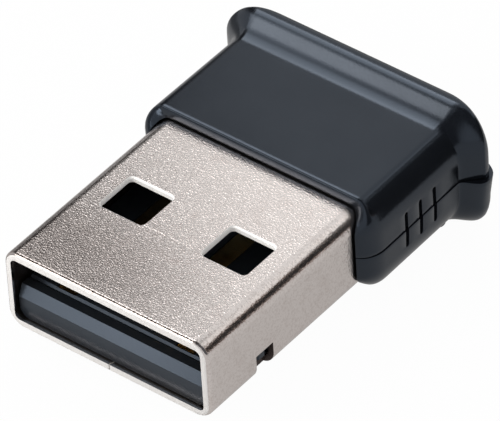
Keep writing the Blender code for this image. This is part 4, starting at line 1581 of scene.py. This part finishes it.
    @staticmethod
    def _whole(quarter: Sequence[Point]) -> list[Point]:
        """A quarter's points repeated in the other three quarters.

        Args:
            quarter: The points of the first quarter.

        Returns:
            The points of the whole ring.
        """
        back = quarter[::-1]
        ring = list(quarter[:-1])
        ring += [(-x, y, z) for x, y, z in back][:-1]
        ring += [(-x, y, -z) for x, y, z in quarter][:-1]
        ring += [(x, y, -z) for x, y, z in back][:-1]
        return ring

    def _ramp(self, t: float) -> float:
        """0 to 1 over a long hollow foot, a straight slope and a shorter round shoulder.

        Args:
            t: 0 at the neck, 1 at the rim.

        Returns:
            The share of the full height.
        """
        foot = self.ramp_foot
        shoulder = self.ramp_shoulder
        slope = 1 / (1 - foot / 2 - shoulder / 2)
        if t < foot:
            return slope * t * t / (2 * foot)
        if t > 1 - shoulder:
            return 1 - slope * (1 - t) ** 2 / (2 * shoulder)
        return slope * (t - foot / 2)

    def _opening(self, t: float, speed: float) -> float:
        """0 to 1 with a short eased start, then the faster at first the higher the speed.

        Args:
            t: 0 at the neck, 1 at the rim.
            speed: The power that it opens with.

        Returns:
            The share of the full width.
        """
        ease = self.side_ease
        eased = t * t / (2 * ease) if t < ease else t - ease / 2
        return 1 - (1 - eased / (1 - ease / 2)) ** speed

    def _nose_rings(self, half: Half) -> list[list[Point]]:
        """The rings round the front edge, from inside the bore to the cheeks and the panel.

        Args:
            half: Which moulding.

        Returns:
            The rings in order.
        """
        shape = SHAPES[half]
        rings = []
        outer = self._section(half, 0.0, 0.0, 0.0, self.lip_corner)
        for row in range(self.nose_steps + 1):
            angle = math.pi / 2 * row / self.nose_steps
            quarter = []
            for (bx, bz), (ox, oz), top in zip(self._bore_section(), outer, self._topness()):
                power = 2 / mix(self.cheek_fullness, shape.fullness, top)
                out = math.sin(angle) ** power
                back = (1 - max(math.cos(angle), 0.0) ** power) * mix(self.cheek_nose, shape.nose, top)
                start = self.front - self.cheek_reach * (1 - top)
                quarter.append((mix(bx, ox, out), start + back, mix(bz, oz, out)))
            rings.append(self._whole(quarter))
        return rings

    def _body_rings(self, half: Half) -> list[list[Point]]:
        """The rings along the body, up to where the sweep starts.

        Args:
            half: Which moulding.

        Returns:
            The rings in order.
        """
        rings = []
        for row in range(1, self.body_steps + 1):
            t = row / self.body_steps
            section = self._section(half, 0.0, 0.0, t, self.lip_corner)
            quarter = []
            for (x, z), top in zip(section, self._topness()):
                start = self.front - self.cheek_reach * (1 - top)
                nose_rear = start + mix(self.cheek_nose, SHAPES[half].nose, top)
                sweep_front = self.sweep_front + self.side_delay * (1 - top)
                quarter.append((x, mix(nose_rear, sweep_front, t), z))
            rings.append(self._whole(quarter))
        return rings

    def _lip_rings(self, half: Half) -> list[list[Point]]:
        """The rings of the sweep: a straight ramp above and a quick flare at the sides.

        Args:
            half: Which moulding.

        Returns:
            The rings in order.
        """
        rings = []
        for row in range(1, self.sweep_steps + 1):
            t = row / self.sweep_steps
            widen = self._opening(t, SHAPES[half].speed)
            section = self._section(half, widen, self._ramp(t), 1.0, self.lip_corner)
            quarter = []
            for (x, z), top in zip(section, self._topness()):
                sweep_front = self.sweep_front + self.side_delay * (1 - top)
                rim_front = self.rim_rear - self.rim - self.rim_side_lead * (1 - top)
                quarter.append((x, mix(sweep_front, rim_front, t), z))
            rings.append(self._whole(quarter))
        return rings

    def _crown_rings(self, half: Half) -> list[list[Point]]:
        """The rings from the rim over the bowed rear face, whose corners are rounder.

        Args:
            half: Which moulding.

        Returns:
            The rings in order.
        """
        peak = self.rear + SHAPES[half].step_lip
        rings = []
        for row in range(self.crown_steps):
            angle = math.pi / 2 * row / self.crown_steps
            rear_corner = self.lip_half_height - self.rear_side_flat / 2
            corner = mix(self.lip_corner, rear_corner, math.sin(angle))
            shrink = math.cos(angle) ** (2 / self.crown_width_fullness)
            depth = math.sin(angle) ** (2 / self.crown_depth_fullness)
            quarter = []
            for (x, z), top in zip(self._section(half, 1.0, 1.0, 1.0, corner), self._topness()):
                rim_rear = self.rim_rear - self.rim_side_lead * (1 - top)
                quarter.append((x * shrink, mix(rim_rear, peak, depth), z * shrink))
            rings.append(self._whole(quarter))
        return rings

    def _skin(self, name: str, half: Half) -> Solid:
        """The whole outer skin as a closed body.

        Args:
            name: The body's name.
            half: Which moulding.

        Returns:
            The body.
        """
        rings = [[(0.0, self.front - self.cheek_reach, 0.0)]]
        rings += self._nose_rings(half) + self._body_rings(half)
        rings += self._lip_rings(half) + self._crown_rings(half)
        rings.append([(0.0, self.rear + SHAPES[half].step_lip, 0.0)])
        return Solid(name, [rings])

    def _lap(self, gap: float) -> list[Flat]:
        """Plan of the lap joint: a U inside the walls.

        Args:
            gap: How much wider than the tongue it is on each side.

        Returns:
            The outline in X and Y.
        """
        inner = self.bore_half_width - self.fits.embed
        outer = self.bore_half_width + self.lap_thickness + gap
        front = self.front + self.lap_front - gap
        rear = self.cavity_rear + self.lap_thickness + gap
        inside = self.cavity_rear - self.fits.embed
        return [
            (outer, front),
            (outer, rear),
            (-outer, rear),
            (-outer, front),
            (-inner, front),
            (-inner, inside),
            (inner, inside),
            (inner, front),
        ]

    def _grooves(self) -> Solid:
        """The upright grip slots in both sides, across the parting line.

        Returns:
            The bodies to cut away.
        """
        radius = self.groove_width / 2
        straight = self.groove_height / 2 - radius
        first = self.front + self.groove_first
        last = self.sweep_front - self.groove_last
        slots = []
        for side in (-1, 1):
            inner = side * (self.half_width - self.taper - self.groove_depth)
            outer = side * (self.half_width + self.corner_reach)
            for i in range(self.groove_count):
                y = mix(first, last, i / (self.groove_count - 1))
                outline = arc((y, straight), radius, 0, 180, self.groove_steps)
                outline += arc((y, -straight), radius, 180, 360, self.groove_steps)
                slots.append([[(x, a, b) for a, b in outline] for x in (inner, outer)])
        return Solid("grip_slots", slots)

    def _rib_root(self) -> list[Flat]:
        """Where ribs run into the walls: an arc outside the bore's corner."""
        centre = (self.bore_half_width - self.bore_bend, self.bore_half_height - self.bore_bend)
        return arc(centre, self.bore_bend + self.rib_embed, 0, 90, self.bend_steps)

    def _stop_rib(self) -> list[Flat]:
        """Section of the rib behind the shell's rear edge.

        Returns:
            The outline in X and Z.
        """
        tip = self.board_half_width + 3 * self.fits.gap
        root = self._rib_root()
        kept = [point for point in root if point[0] > tip + self.fits.gap]
        kept.append((tip, self.bore_half_height))
        return [(tip, self.stop_rib_start), (root[0][0], self.stop_rib_start)] + kept

    def _clamp_rib(self, half: Half) -> list[Flat]:
        """Section of the rib that holds the board's edge, with Z measured away from the parting line.

        Args:
            half: Which moulding.

        Returns:
            The outline in X and Z.
        """
        tip = self.board_half_width - self.clamp_bite
        root = self._rib_root()
        ceiling = (tip, root[-1][1])
        if half is Half.LOWER:
            edge = self.board_thickness - self.board_top + self.fits.gap
            return [(tip, edge), (root[0][0], edge)] + root + [ceiling]
        above_lap = self.lap_height + 2 * self.fits.gap
        clear = self.bore_half_width - 2 * self.fits.gap
        edge = self.board_top + self.fits.gap
        foot = [(tip, edge), (clear, edge), (clear, above_lap), (root[0][0], above_lap)]
        return foot + root + [ceiling]

    def _ribs(self, half: Half) -> list[Solid]:
        """The stop ribs, the clamp ribs and the lugs that stand in the shell's catch windows.

        Args:
            half: Which moulding.

        Returns:
            The bodies to add.
        """
        side = half.value
        solids = []
        places = (
            (self._stop_rib(), self.shell.length + self.fits.gap),
            (self._clamp_rib(half), self.cavity_rear - self.clamp_rear - self.rib_length),
        )
        for outline, start in places:
            turned = [(x, side * z) for x, z in outline]
            pair = [turned, mirrored(turned)]
            solids.append(Solid.prisms("ribs", pair, Axis.Y, start, start + self.rib_length))
        shell = self.shell
        half_width = shell.catch_width / 2 - self.fits.gap
        half_length = shell.catch_length / 2 - self.fits.gap
        lug = rectangle(
            (shell.catch_offset - half_width, shell.catch_middle - half_length),
            (shell.catch_offset + half_width, shell.catch_middle + half_length),
        )
        levels = sorted(
            (
                side * (self.bore_half_height - self.fits.gap - self.catch_depth),
                side * (self.bore_half_height + self.fits.embed),
            )
        )
        solids.append(Solid.prisms("lugs", [lug, mirrored(lug)], Axis.Z, *levels))
        return solids

    def _pillars(self) -> Solid:
        """The two posts that stand in the board's edge notches.

        Returns:
            The bodies to add.
        """
        place = (self.bore_half_width - self.pillar_inset, self.cavity_rear - self.pillar_rear)
        ring = arc(place, self.pillar_radius, 0, 360, self.pillar_steps)[:-1]
        floor = -self.bore_half_height - self.fits.embed
        top = self.board_top + self.pillar_rise
        return Solid.prisms("pillars", [ring, mirrored(ring)], Axis.Z, floor, top)

    def _mould(self, half: Half) -> Solid:
        """One moulding: the skin cut at the parting line, hollowed, lapped and ribbed.

        Args:
            half: Which moulding.

        Returns:
            The moulding.
        """
        upper = half is Half.UPPER
        name = "upper_moulding" if upper else "lower_moulding"
        solid = self._skin(name, half)
        side = half.value
        far = 2 * self.rear
        levels = sorted((side * self.fits.parting / 2, -side * far))
        solid.cut(Solid.prisms("split", [rectangle((-far, -far), (far, far))], Axis.Z, *levels))
        if upper:
            lap = self._lap(self.fits.gap)
            top = self.lap_height + self.fits.gap
            solid.cut(Solid.prisms("rebate", [lap], Axis.Z, -self.lap_height, top))
        else:
            lap = self._lap(0.0)
            solid.join(Solid.prisms("tongue", [lap], Axis.Z, -self.lap_height, self.lap_height))
        solid.cut(Solid("cavity", [self._cavity_rings()]))
        for rib in self._ribs(half):
            solid.join(rib)
        return solid

    def build(self) -> list[bpy.types.Object]:
        """Moulds and dresses both halves.

        Returns:
            The upper and the lower moulding.
        """
        grooves = self._grooves()
        pieces = []
        for half in Half:
            solid = self._mould(half)
            solid.cut(grooves, keep=True)
            if half is Half.LOWER:
                solid.join(self._pillars())
            solid.round_edges(self.edge, 2)
            piece = solid.dress(self.shell.origin, [HOUSING_PLASTIC])
            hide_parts("upper_housing" if half is Half.UPPER else "lower_housing")
            pieces.append(piece)
        grooves.drop()
        return pieces


@dataclass
class InnerPieces:
    """The contacts, the board and its parts, which keep their solids and get their own finishes."""

    finishes: Mapping[str, Finish] = field(
        default_factory=lambda: {
            "contact": GOLD,
            "circuit_board": LAMINATE,
            "radio_chip": RADIO_EPOXY,
            "memory_chip": LEADED_EPOXY,
            "voltage_regulator": LEADED_EPOXY,
            "crystal": CRYSTAL_CAN,
            "chip_antenna": ANTENNA_CERAMIC,
            "band_filter": FILTER_CERAMIC,
            "ferrite_bead": BEAD_FERRITE,
            "capacitor": CAPACITOR_CERAMIC,
            "resistor": RESISTOR_CERAMIC,
        }
    )

    def _finish_of(self, name: str) -> Finish | None:
        """The finish of one node, or None for a node of the plug or the housing."""
        fitting = (finish for start, finish in self.finishes.items() if name.startswith(start))
        return next(fitting, None)

    def dress(self, nodes: Mapping[str, bpy.types.Object]) -> int:
        """Gives each inner node its finish.

        Args:
            nodes: The frame's nodes by name.

        Returns:
            How many nodes were dressed.
        """
        count = 0
        for name, item in sorted(nodes.items()):
            found = self._finish_of(name)
            if found is None:
                continue
            for slot in item.material_slots:
                slot.material = found.material()
            count += 1
        return count


@dataclass
class SoftBox:
    """A rectangular lamp that lights and reflects, and that the camera doesn't see."""

    name: str
    centre: Vector
    facing: Vector
    edge: Vector
    width: float
    height: float
    radiance: float

    def place(self) -> bpy.types.Object:
        """Hangs the lamp with its width along its edge direction.

        Returns:
            The lamp's object.
        """
        lamp = bpy.data.lights.new(self.name, "AREA")
        lamp.shape = "RECTANGLE"
        lamp.size = self.width
        lamp.size_y = self.height
        lamp.energy = self.radiance * math.pi * self.width * self.height
        item = bpy.data.objects.new(self.name, lamp)
        bpy.context.scene.collection.objects.link(item)
        back = -self.facing.normalized()
        across = (self.edge - back * self.edge.dot(back)).normalized()
        turned = Matrix((across, back.cross(across), back)).transposed()
        item.matrix_world = Matrix.Translation(self.centre) @ turned.to_4x4()
        item.visible_camera = False
        LOG.info("lamp %s", self.name)
        return item


@dataclass
class Flag:
    """A dark card that only mirrored rays see."""

    name: str
    corners: Sequence[Point]
    tone: Colour
    nap: float = 1.0 * MM
    shade: float = 0.7

    def place(self, origin: Vector) -> bpy.types.Object:
        """Hangs the card.

        Args:
            origin: The point that its corners are measured from.

        Returns:
            The card's object.
        """
        mesh = bpy.data.meshes.new(self.name)
        mesh.from_pydata(list(self.corners), [], [(0, 1, 2, 3)])
        item = bpy.data.objects.new(self.name, mesh)
        bpy.context.scene.collection.objects.link(item)
        item.location = origin
        item.visible_camera = False
        item.visible_diffuse = False
        item.visible_shadow = False
        felt = bpy.data.materials.new(f"{self.name}_felt")
        felt.use_nodes = True
        graph = Graph(felt.node_tree)
        nap = graph.noise(graph.place(), self.nap, 2.0)
        darker = tuple(self.shade * level for level in self.tone)
        graph.output(graph.principled({"Base Color": graph.mix(nap, self.tone, darker)}))
        mesh.materials.append(felt)
        return item


@dataclass(frozen=True)
class Patch:
    """A round patch of the surround, as directions: whole round its middle and faded out at its rim."""

    middle: Point
    whole: float
    rim: float
    colour: Colour

    def share(self, graph: Graph, towards: bpy.types.NodeSocket) -> Value:
        """How much of the patch shows in a direction.

        Args:
            graph: The world's graph.
            towards: The direction's socket.

        Returns:
            0 outside the patch, 1 where it is whole.
        """
        values = {0: towards, 1: tuple(Vector(self.middle).normalized())}
        dot = graph.node("ShaderNodeVectorMath", {"operation": "DOT_PRODUCT"}, values)
        cosines = (math.cos(math.radians(self.rim)), math.cos(math.radians(self.whole)))
        return Value(graph, dot.outputs["Value"]).step(*cosines)


WHITE = (1.0, 1.0, 1.0)
SOFT_GREY = (0.70, 0.70, 0.71)
STUDIO_GREY = (0.60, 0.60, 0.61)
RIGHT_FRONT = (0.07, 0.07, 0.075)
LEFT_FRONT = (0.22, 0.22, 0.23)
FLOOR_GLOW = (0.46, 0.45, 0.44)
# The painted shadow that mirrored rays see on the floor.
FLOOR_PAINTED_SHADOW = (0.02, 0.02, 0.02)
PAPER = (0.80, 0.80, 0.80)
PAPER_LIGHT = (0.84, 0.84, 0.84)
CARD_BLACK = (0.008, 0.008, 0.008)
CARD_BROWN = (0.03, 0.02, 0.018)
BRIGHT_PATCH = Patch((0.30, 0.57, 0.76), 20.0, 38.0, (0.78, 0.77, 0.76))
DIM_PATCH = Patch((-0.49, 0.57, 0.66), 28.0, 48.0, (0.03, 0.028, 0.026))
BROWN_PATCH = Patch((0.73, 0.57, 0.36), 10.0, 22.0, (0.008, 0.007, 0.007))
BROWN_RIM = ((0.0, STUDIO_GREY), (0.3, (0.45, 0.33, 0.27)), (0.55, (0.08, 0.045, 0.03)))
SWEEP_BANDS = (
    (-0.20, (3.45, 3.2, 2.95)),
    (-0.15, (0.4, 0.4, 0.4)),
    (-0.05, (0.4, 0.4, 0.4)),
    (0.08, (2.2, 2.2, 2.2)),
    (0.30, (2.8, 2.8, 2.8)),
    (0.45, (3.2, 3.2, 3.2)),
    (0.50, (0.8, 0.8, 0.8)),
)
SWEEP_RANGE = (-0.5, 0.7)


@dataclass
class Studio:
    """The camera at the photograph's angle, the white floor, the surround, the lamps and the cards."""

    origin: Vector
    image_width: int = 500
    azimuth: float = 40.719
    elevation: float = 41.324
    roll: float = -3.736
    distance: float = 366.97 * MM
    shift_right: float = 6.564 * MM
    shift_up: float = 5.703 * MM
    focal_pixels: float = 8020.5
    sensor: float = 36.0
    floor_size: float = 2.0
    floor_white: float = 0.97
    floor_mirrored: float = 0.8
    floor_fibre: float = 0.6 * MM
    # Where the painted shadow lies on the floor for mirrored rays.
    shade_across: Flat = (-18 * MM, -26 * MM)
    shade_along: Flat = (0.0, 6 * MM)
    plug_top: float = 2.25 * MM
    strip_edge: Point = (0.585, -0.345, 0.735)
    strip_reach: float = 70 * MM
    strip_width: float = 90 * MM
    strip_height: float = 60 * MM
    strips: tuple[tuple[str, Flat, float], ...] = (
        ("lamp_back", (-2.5 * MM, 2.2 * MM), 0.08),
        ("lamp_rear", (1.6 * MM, 3.0 * MM), 0.40),
        ("lamp_far", (4.5 * MM, 6.5 * MM), 0.22),
    )
    left_place: Point = (-60 * MM, -50 * MM, 77 * MM)
    left_size: Flat = (130 * MM, 74 * MM)
    left_radiance: float = 1.3
    fill_place: Point = (-50 * MM, -60 * MM, 30 * MM)
    fill_size: Flat = (70 * MM, 60 * MM)
    fill_radiance: float = 3.6
    low_place: Point = (-9.0 * MM, -15.0 * MM, -0.5 * MM)
    low_size: Flat = (14 * MM, 6 * MM)
    low_radiance: float = 3.4
    side_card: float = 15.0 * MM
    side_card_low: Flat = (17.5 * MM, -1.2 * MM)
    side_card_high: Flat = (70.0 * MM, 15.0 * MM)
    over_card: float = 25.0 * MM
    over_card_low: Flat = (-38.0 * MM, -6.0 * MM)
    over_card_high: Flat = (8.0 * MM, 9.0 * MM)

    def _axes(self) -> tuple[Vector, Vector, Vector]:
        """The camera's right, up and backward directions.

        Returns:
            The three directions.
        """
        a = math.radians(self.azimuth)
        e = math.radians(self.elevation)
        back = Vector((math.sin(a) * math.cos(e), -math.cos(a) * math.cos(e), math.sin(e)))
        level = Vector((math.cos(a), math.sin(a), 0.0))
        upright = back.cross(level)
        turn = math.radians(self.roll)
        right = math.cos(turn) * level + math.sin(turn) * upright
        return right, back.cross(right), back

    @property
    def eye(self) -> Vector:
        """Where the camera is."""
        right, up, back = self._axes()
        return self.origin + back * self.distance + right * self.shift_right + up * self.shift_up

    def hang_camera(self) -> None:
        """Adds the camera and makes it the scene's."""
        lens = bpy.data.cameras.new("camera")
        lens.sensor_width = self.sensor
        lens.lens = self.focal_pixels * self.sensor / self.image_width
        lens.clip_start = 0.01
        lens.clip_end = 10.0
        item = bpy.data.objects.new("camera", lens)
        bpy.context.scene.collection.objects.link(item)
        turned = Matrix(self._axes()).transposed()
        item.matrix_world = Matrix.Translation(self.eye) @ turned.to_4x4()
        bpy.context.scene.camera = item

    def lay_floor(self) -> None:
        """Adds the white floor, which keeps the adapter's shadow."""
        half = self.floor_size / 2
        mesh = bpy.data.meshes.new("floor")
        corners = [(x, y, 0.0) for x, y in rectangle((-half, -half), (half, half))]
        mesh.from_pydata(corners, [], [(0, 1, 2, 3)])
        item = bpy.data.objects.new("floor", mesh)
        bpy.context.scene.collection.objects.link(item)
        paper = bpy.data.materials.new("floor_paper")
        paper.use_nodes = True
        graph = Graph(paper.node_tree)
        rays = graph.node("ShaderNodeLightPath").outputs
        seen = Value(graph, rays["Is Camera Ray"])
        mirrored_ray = Value(graph, rays["Is Glossy Ray"]) + Value(graph, rays["Is Transmission Ray"])
        place = graph.place()
        x, y, _ = graph.axes(place)
        # Painted shadow: for mirrored rays the floor's glow turns dark towards the back left, where the
        # adapter's shadow would fall.
        shaded = x.step(*self.shade_across) * y.step(*self.shade_along)
        glow_colour = graph.mix(seen, graph.mix(shaded, FLOOR_GLOW, FLOOR_PAINTED_SHADOW), WHITE)
        glow = graph.node("ShaderNodeEmission", None, {"Color": glow_colour}).outputs[0]
        paper_colour = graph.mix(graph.noise(place, self.floor_fibre, 2.0), PAPER, PAPER_LIGHT)
        matt = graph.node("ShaderNodeBsdfDiffuse", None, {"Color": paper_colour}).outputs[0]
        share = seen * self.floor_white + mirrored_ray * self.floor_mirrored
        mixed = graph.node("ShaderNodeMixShader", None, {0: share, 1: matt, 2: glow})
        graph.output(mixed.outputs[0])
        mesh.materials.append(paper)

    def _sweep_light(
        self, graph: Graph, towards: bpy.types.NodeSocket, rest: bpy.types.NodeSocket
    ) -> bpy.types.NodeSocket:
        """Lights up overhead on the left, in bands that the lip's sweep mirrors.

        Args:
            graph: The world's graph.
            towards: The direction's socket.
            rest: The colour elsewhere.

        Returns:
            The colour with the bands.
        """
        x, y, z = graph.axes(towards)
        low, high = SWEEP_RANGE
        stops = [((place - low) / (high - low), colour) for place, colour in SWEEP_BANDS]
        bands = graph.ramp((y - low) / (high - low), stops)
        across = x.step(-0.36, -0.44) * x.step(-0.75, -0.62)
        along = y.step(0.52, 0.46) * y.step(-0.66, -0.55)
        return graph.mix(across * along * z.step(0.1, 0.3), rest, bands)

    def surround(self) -> None:
        """Paints the world: white to the eye, soft grey light, and dark corners for reflections."""
        world = bpy.data.worlds.new("surround")
        bpy.context.scene.world = world
        world.use_nodes = True
        graph = Graph(world.node_tree)
        rays = graph.node("ShaderNodeLightPath").outputs
        camera = Value(graph, rays["Is Camera Ray"])
        glossy = Value(graph, rays["Is Glossy Ray"]) + Value(graph, rays["Is Transmission Ray"])
        towards = graph.place("Generated")
        x, y, z = graph.axes(towards)
        right_front = x.step(-0.42, -0.15) * y.step(0.45, 0.15) * y.step(-0.75, -0.55)
        left_front = x.step(-0.3, -0.45) * y.step(-0.25, -0.4) * z.step(0.55, 0.4)
        studio = graph.mix(BRIGHT_PATCH.share(graph, towards), STUDIO_GREY, BRIGHT_PATCH.colour)
        studio = graph.mix(DIM_PATCH.share(graph, towards), studio, DIM_PATCH.colour)
        studio = graph.mix(right_front, studio, RIGHT_FRONT)
        studio = graph.mix(left_front, studio, LEFT_FRONT)
        brown = BROWN_PATCH.share(graph, towards)
        browns = graph.ramp(brown, (*BROWN_RIM, (1.0, BROWN_PATCH.colour)))
        studio = graph.mix(brown.step(0.0, BROWN_RIM[1][0]), studio, browns)
        reflected = self._sweep_light(graph, towards, studio)
        colour = graph.mix(camera, graph.mix(glossy, SOFT_GREY, reflected), WHITE)
        background = graph.node("ShaderNodeBackground", None, {"Color": colour, "Strength": 1.0})
        graph.output(background.outputs[0], "ShaderNodeOutputWorld")

    def hang_lamps(self) -> None:
        """Adds three lamps that the plug's top mirrors, a tall one at the left, a fill and a low one."""
        edge = Vector(self.strip_edge)
        for name, start, radiance in self.strips:
            point = self.origin + Vector((*start, self.plug_top))
            towards = (point - self.eye).normalized()
            towards.z = -towards.z
            deeper = towards.cross(edge).normalized()
            centre = point + towards * self.strip_reach + deeper * self.strip_height / 2
            SoftBox(name, centre, -towards, edge, self.strip_width, self.strip_height, radiance).place()
        right = Vector((1.0, 0.0, 0.0))
        rear = Vector((0.0, 1.0, 0.0))
        left_at = self.origin + Vector(self.left_place)
        SoftBox("lamp_left", left_at, right, rear, *self.left_size, self.left_radiance).place()
        fill_at = self.origin + Vector(self.fill_place)
        along = Vector((1.0, -0.8, 0.0))
        fill = SoftBox("lamp_fill", fill_at, -fill_at, along, *self.fill_size, self.fill_radiance)
        fill.place().visible_glossy = False
        low_at = self.origin + Vector(self.low_place)
        low = SoftBox("lamp_low", low_at, rear, right, *self.low_size, self.low_radiance)
        low.place().visible_diffuse = False

    def hang_flags(self) -> None:
        """Adds two dark cards: at the right for the housing's side, overhead for the plug's mouth."""
        side = rectangle(self.side_card_low, self.side_card_high)
        corners = [(self.side_card, y, z) for y, z in side]
        Flag("flag_side", corners, CARD_BLACK).place(self.origin)
        over = rectangle(self.over_card_low, self.over_card_high)
        corners = [(x, y, self.over_card) for x, y in over]
        Flag("flag_over", corners, CARD_BROWN).place(self.origin)

    def build(self) -> None:
        """Sets up the whole studio and the plain colour response."""
        self.hang_camera()
        self.lay_floor()
        self.surround()
        self.hang_lamps()
        self.hang_flags()
        bpy.context.scene.view_settings.view_transform = "Standard"


def main() -> None:
    """Builds the studio and the adapter, piece by piece."""
    logging.basicConfig(level=logging.INFO, format="%(name)s: %(message)s")
    low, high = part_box("plug_shell")
    origin = Vector((0.0, low.y, (low.z + high.z) / 2))
    Studio(origin).build()
    shell = PlugShell(origin, width=high.x - low.x, height=high.z - low.z, length=high.y - low.y)
    fits = Fits()
    for piece in (shell.build(), PlugInsulator(shell, fits).build(), *Housing(shell, fits).build()):
        LOG.info("%s: %d faces", piece.name, len(piece.data.polygons))
    LOG.info("inner pieces dressed: %d", InnerPieces().dress(frame["nodes"]))


if __name__ == "__main__":
    main()
